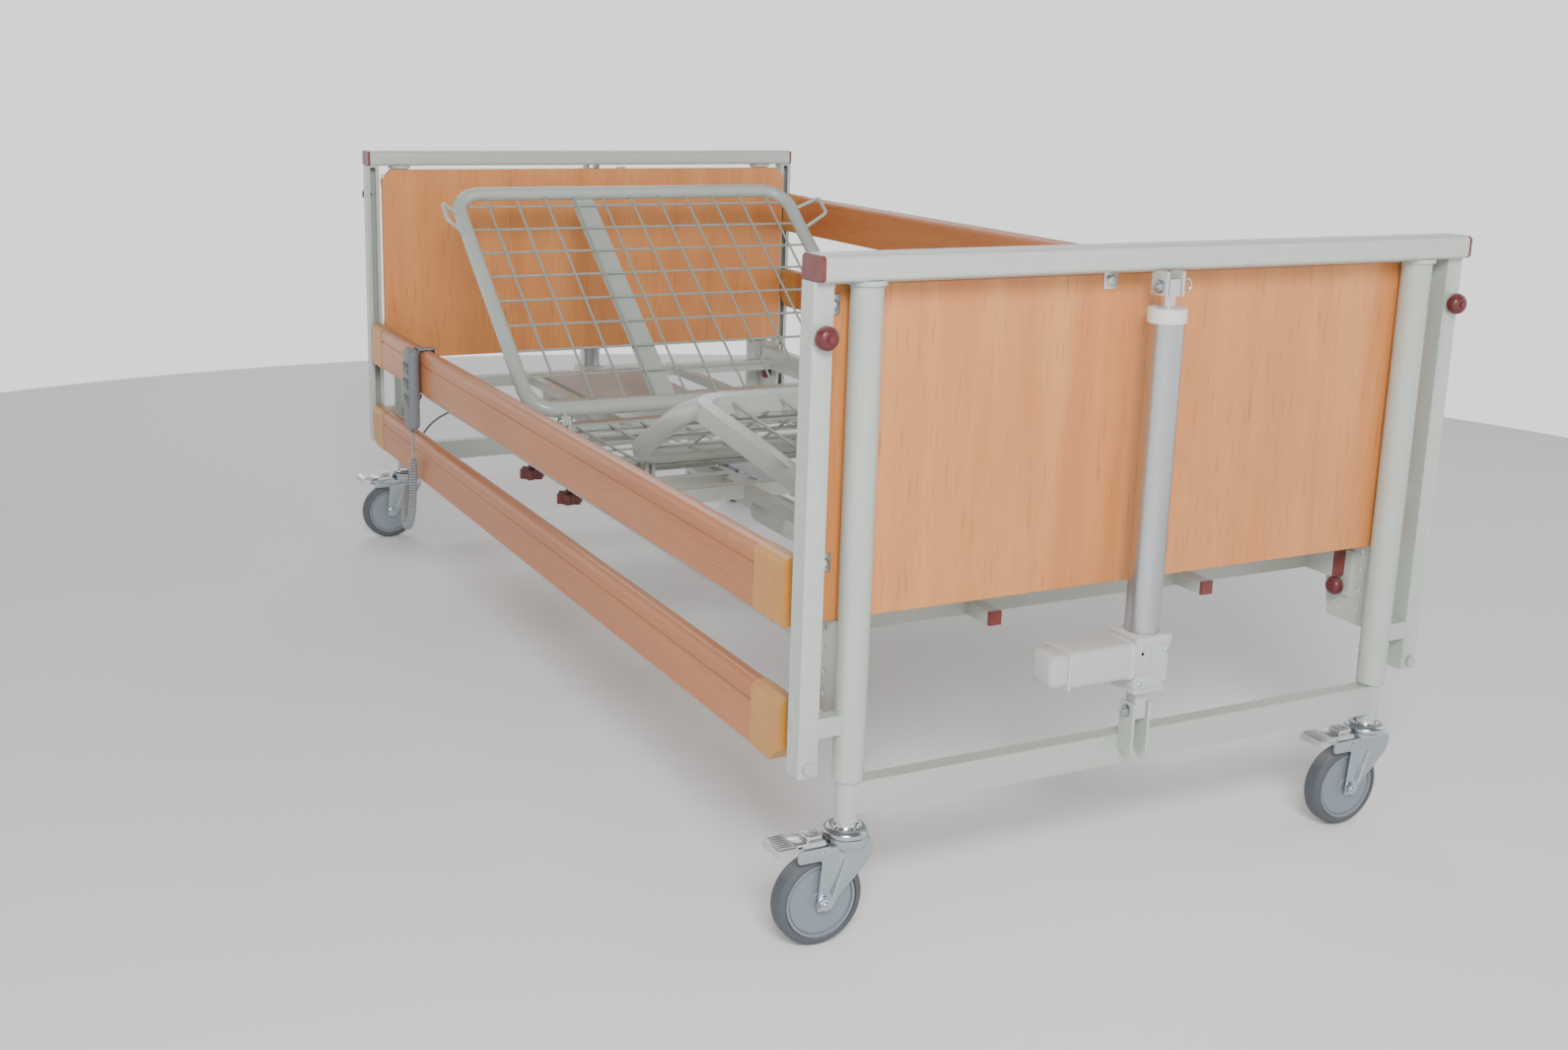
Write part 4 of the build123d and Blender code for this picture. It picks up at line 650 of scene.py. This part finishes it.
def make_columns():
    """Each end frame's lifting column: gear housing, motor case, polished tube and bolts."""
    x, y = COLUMN_X, COLUMN_Y
    housing = joined(
        box_piece((x - 0.029, y - 0.029, 0.298), (x + 0.029, y + 0.029, 0.368), 0.007, 4),
        box_piece((x - 0.0305, y - 0.0305, 0.360), (x + 0.0305, y + 0.0305, 0.376), 0.0045, 3),
        box_piece((x - 0.0265, y - 0.0265, 0.292), (x + 0.0265, y + 0.0265, 0.302), 0.003, 2),
        box_piece((MOTOR_END + 0.028, y - 0.031, 0.317), (x, y + 0.025, 0.369), 0.010, 5),
        box_piece((MOTOR_END, y - 0.0285, 0.3195), (MOTOR_END + 0.036, y + 0.0225, 0.3665), 0.011, 5),
        box_piece((MOTOR_END + 0.026, y - 0.0316, 0.3164),
                  (MOTOR_END + 0.031, y + 0.0256, 0.3696), 0.0098, 4),
        box_piece((x - 0.044, y - 0.0325, 0.3155), (x - 0.026, y + 0.0265, 0.3705), 0.0098, 4),
        box_piece((x - 0.010, y - 0.012, BASE_PIN_Z - 0.012), (x + 0.010, y + 0.012, 0.300), 0.003, 3))
    screws = []
    for dx in SIDES:
        for z in (0.309, 0.353):
            screws.append(settled(lathe([(0, 0.0032), (0.0012, 0.0032), (0.0020, 0.0024)], 16),
                                  (x + dx * 0.021, y - 0.029, z), (0, -1, 0)))
    tube = lathe([(0.374, 0.0215), (0.374, 0.0240), (0.8020, 0.0240), (0.8020, 0.0215)], 64,
                 closed=True)
    settled(tube, (x, y, 0))
    collar = lathe([(0.798, 0.0242), (0.799, 0.0258), (0.8165, 0.0262), (0.8180, 0.0252),
                    (0.8180, 0.0104), (0.800, 0.0104)], 56, closed=True)
    settled(collar, (x, y, 0))
    pins = []
    for z in (BASE_PIN_Z, ROD_PIN_Z):
        pins.append(hex_nut((x - 0.015, y, z), (-1, 0, 0), 0.014, 0.0065, 0.0015))
        pins.append(settled(lathe([(0, 0.005), (0.036, 0.005)], 20), (x - 0.015, y, z), (1, 0, 0)))
    pins.append(hex_nut((x + 0.015, y, BASE_PIN_Z), (1, 0, 0), 0.014, 0.0065, 0.0030))
    pins = joined(*pins, *screws)
    turned = {"foot": Matrix.Translation((MIDDLE_X, 0, 0)),
              "head": Matrix.Translation((MIDDLE_X, 0, 0)) @ Matrix.Rotation(pi, 4, "Z")}
    for end, here in turned.items():
        finished(copied(housing, here), f"{end}_column_housing", "grey_plastic", f"{end}_base",
                 [f"{end}_actuator_housing"])
        finished(copied(tube, here), f"{end}_column_tube", "aluminium", f"{end}_base",
                 [f"{end}_actuator_tube"])
        finished(copied(collar, here), f"{end}_column_collar", "nylon", f"{end}_base")
        finished(copied(pins, here), f"{end}_column_bolts", "zinc", f"{end}_base")
    dropped(housing, tube, collar, pins)


make_columns()


# ---- handset and its cord -----------------------------------------------------------
HANDSET_FACE, HANDSET_BACK = -0.565, -0.541
HANDSET_Y, HANDSET_LOW, HANDSET_TOP = 0.634, 0.348, 0.518
RAIL_INNER, HOOK_TOP = -0.508, 0.514


def make_handset():
    """Slim hand control with a hook over the rail and a strain relief."""
    x0, x1 = HANDSET_FACE + MIDDLE_X, HANDSET_BACK + MIDDLE_X
    case = joined(
        box_piece((x0, HANDSET_Y - 0.0265, HANDSET_LOW), (x1, HANDSET_Y + 0.0265, HANDSET_TOP), 0.0105, 6),
        box_piece((x0 + 0.0112, HANDSET_Y - 0.0270, HANDSET_LOW - 0.0004),
                  (x0 + 0.0126, HANDSET_Y + 0.0270, HANDSET_TOP + 0.0004), 0.0006, 2),
        settled(lathe([(-0.001, 0.0060), (0.006, 0.0048), (0.010, 0.0040), (0.0105, 0.0034)], 24),
                ((x0 + x1) / 2, HANDSET_Y, HANDSET_LOW + 0.001), (0, 0, -1)))
    back, inner = x1 - 0.001, RAIL_INNER + MIDDLE_X
    hook_y = (HANDSET_Y - 0.016, HANDSET_Y + 0.016)
    hook = joined(
        box_piece((back, hook_y[0], HANDSET_LOW + 0.060),
                  (back + 0.0025, hook_y[1], HOOK_TOP + 0.003), 0.001),
        box_piece((back, hook_y[0], HOOK_TOP), (inner + 0.004, hook_y[1], HOOK_TOP + 0.003), 0.001),
        box_piece((inner + 0.001, hook_y[0], HOOK_TOP - 0.016),
                  (inner + 0.004, hook_y[1], HOOK_TOP + 0.003), 0.001))
    finished(case, "handset_case", "handset_plastic", "near_rails", ["handset"])
    finished(hook, "handset_hook", "handset_plastic", "near_rails")


def nurbs_line(points):
    """The smooth line through a route's control points, as closely spaced places."""
    data = bpy.data.curves.new("route", "CURVE")
    data.dimensions = "3D"
    data.resolution_u = 24
    spline = data.splines.new("NURBS")
    spline.points.add(len(points) - 1)
    for control, place in zip(spline.points, points):
        control.co = (*place, 1)
    spline.order_u = 3
    spline.use_endpoint_u = True
    holder = bpy.data.objects.new("route", data)
    mesh = bpy.data.meshes.new_from_object(holder)
    line = [v.co.copy() for v in mesh.vertices]
    bpy.data.objects.remove(holder)
    return line


def spaced(line, step):
    """The same line with places a fixed step apart, and its length."""
    lengths = [0.0]
    for one, two in zip(line, line[1:]):
        lengths.append(lengths[-1] + (two - one).length)
    total, places, at = lengths[-1], [], 0
    count = max(2, round(total / step))
    for index in range(count + 1):
        want = total * index / count
        while at < len(line) - 2 and lengths[at + 1] < want:
            at += 1
        part = (want - lengths[at]) / max(lengths[at + 1] - lengths[at], 1e-9)
        places.append(line[at].lerp(line[at + 1], min(max(part, 0), 1)))
    return places, total


def frames_along(places):
    """A side and an up direction at each place that turn as little as they can."""
    side, out = Vector((1, 0, 0)), []
    for index, place in enumerate(places):
        ahead = (places[min(index + 1, len(places) - 1)] - places[max(index - 1, 0)]).normalized()
        side = (side - ahead * side.dot(ahead)).normalized()
        out.append((side.copy(), ahead.cross(side)))
    return out


def helix_along(line, radius, pitch, per_turn):
    """A curly cord's own line round its route; it starts and ends on the route's line."""
    places, total = spaced(line, pitch / per_turn)
    count, out = len(places) - 1, []
    for index, (place, (side, up)) in enumerate(zip(places, frames_along(places))):
        angle = 2 * pi * index / per_turn
        grow = min(1.0, index / (1.5 * per_turn), (count - index) / (1.5 * per_turn))
        out.append(place + (side * cos(angle) + up * sin(angle)) * radius * grow)
    return out


def tube_along(places, radius, sides=8):
    """A closed round tube that follows the places."""
    bpy.ops.object.select_all(action="DESELECT")
    bpy.ops.mesh.primitive_cylinder_add(vertices=sides, radius=radius, depth=1)
    piece = bpy.context.object
    shape = bmesh.new()
    rings = []
    angles = [2 * pi * k / sides for k in range(sides)]
    for place, (side, up) in zip(places, frames_along(places)):
        rings.append([shape.verts.new(place + (side * cos(angle) + up * sin(angle)) * radius)
                      for angle in angles])
    for one, two in zip(rings, rings[1:]):
        for k in range(sides):
            shape.faces.new((one[k], one[(k + 1) % sides], two[(k + 1) % sides], two[k]))
    shape.faces.new(list(reversed(rings[0])))
    shape.faces.new(rings[-1])
    shape.to_mesh(piece.data)
    shape.free()
    return piece


CORD_D, CURL_D, CURL_PITCH = 0.005, 0.017, 0.0062
CURL_STEPS = 16                                # places in each turn of the curl
LEAD_STEP = 0.006
CURL_ROUTE = [(-0.552, 0.635, 0.285), (-0.551, 0.642, 0.205), (-0.549, 0.672, 0.138),
              (-0.543, 0.732, 0.104), (-0.530, 0.798, 0.116), (-0.508, 0.846, 0.176)]
LEAD_ROUTE = [(-0.508, 0.846, 0.176), (-0.486, 0.868, 0.252), (-0.430, 0.874, 0.322),
              (-0.330, 0.850, 0.346), (-0.245, 0.812, 0.351), (-0.187, 0.795, 0.352)]
HANDSET_END = (-0.553, 0.634, 0.3475)


def make_cord():
    """The handset's cord: a plain lead, a curly stretch and a lead into the control box."""
    def shifted(points):
        return [Vector(p) + Vector((MIDDLE_X, 0, 0)) for p in points]
    low, top = shifted([CURL_ROUTE[0], HANDSET_END])
    first, _ = spaced(nurbs_line([top, top.lerp(low, 0.5), low]), LEAD_STEP)
    curl = helix_along(nurbs_line(shifted(CURL_ROUTE)), (CURL_D - CORD_D) / 2, CURL_PITCH,
                       CURL_STEPS)
    last, _ = spaced(nurbs_line(shifted(LEAD_ROUTE)), LEAD_STEP)
    places = list(reversed(first[:-1] + curl + last[1:]))
    cord = tube_along(places, CORD_D / 2)
    finished(cord, "handset_cord", "cord_rubber", None, ["cord_curl", "cord_lead"], 60)
    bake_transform(cord)


make_handset()
make_cord()
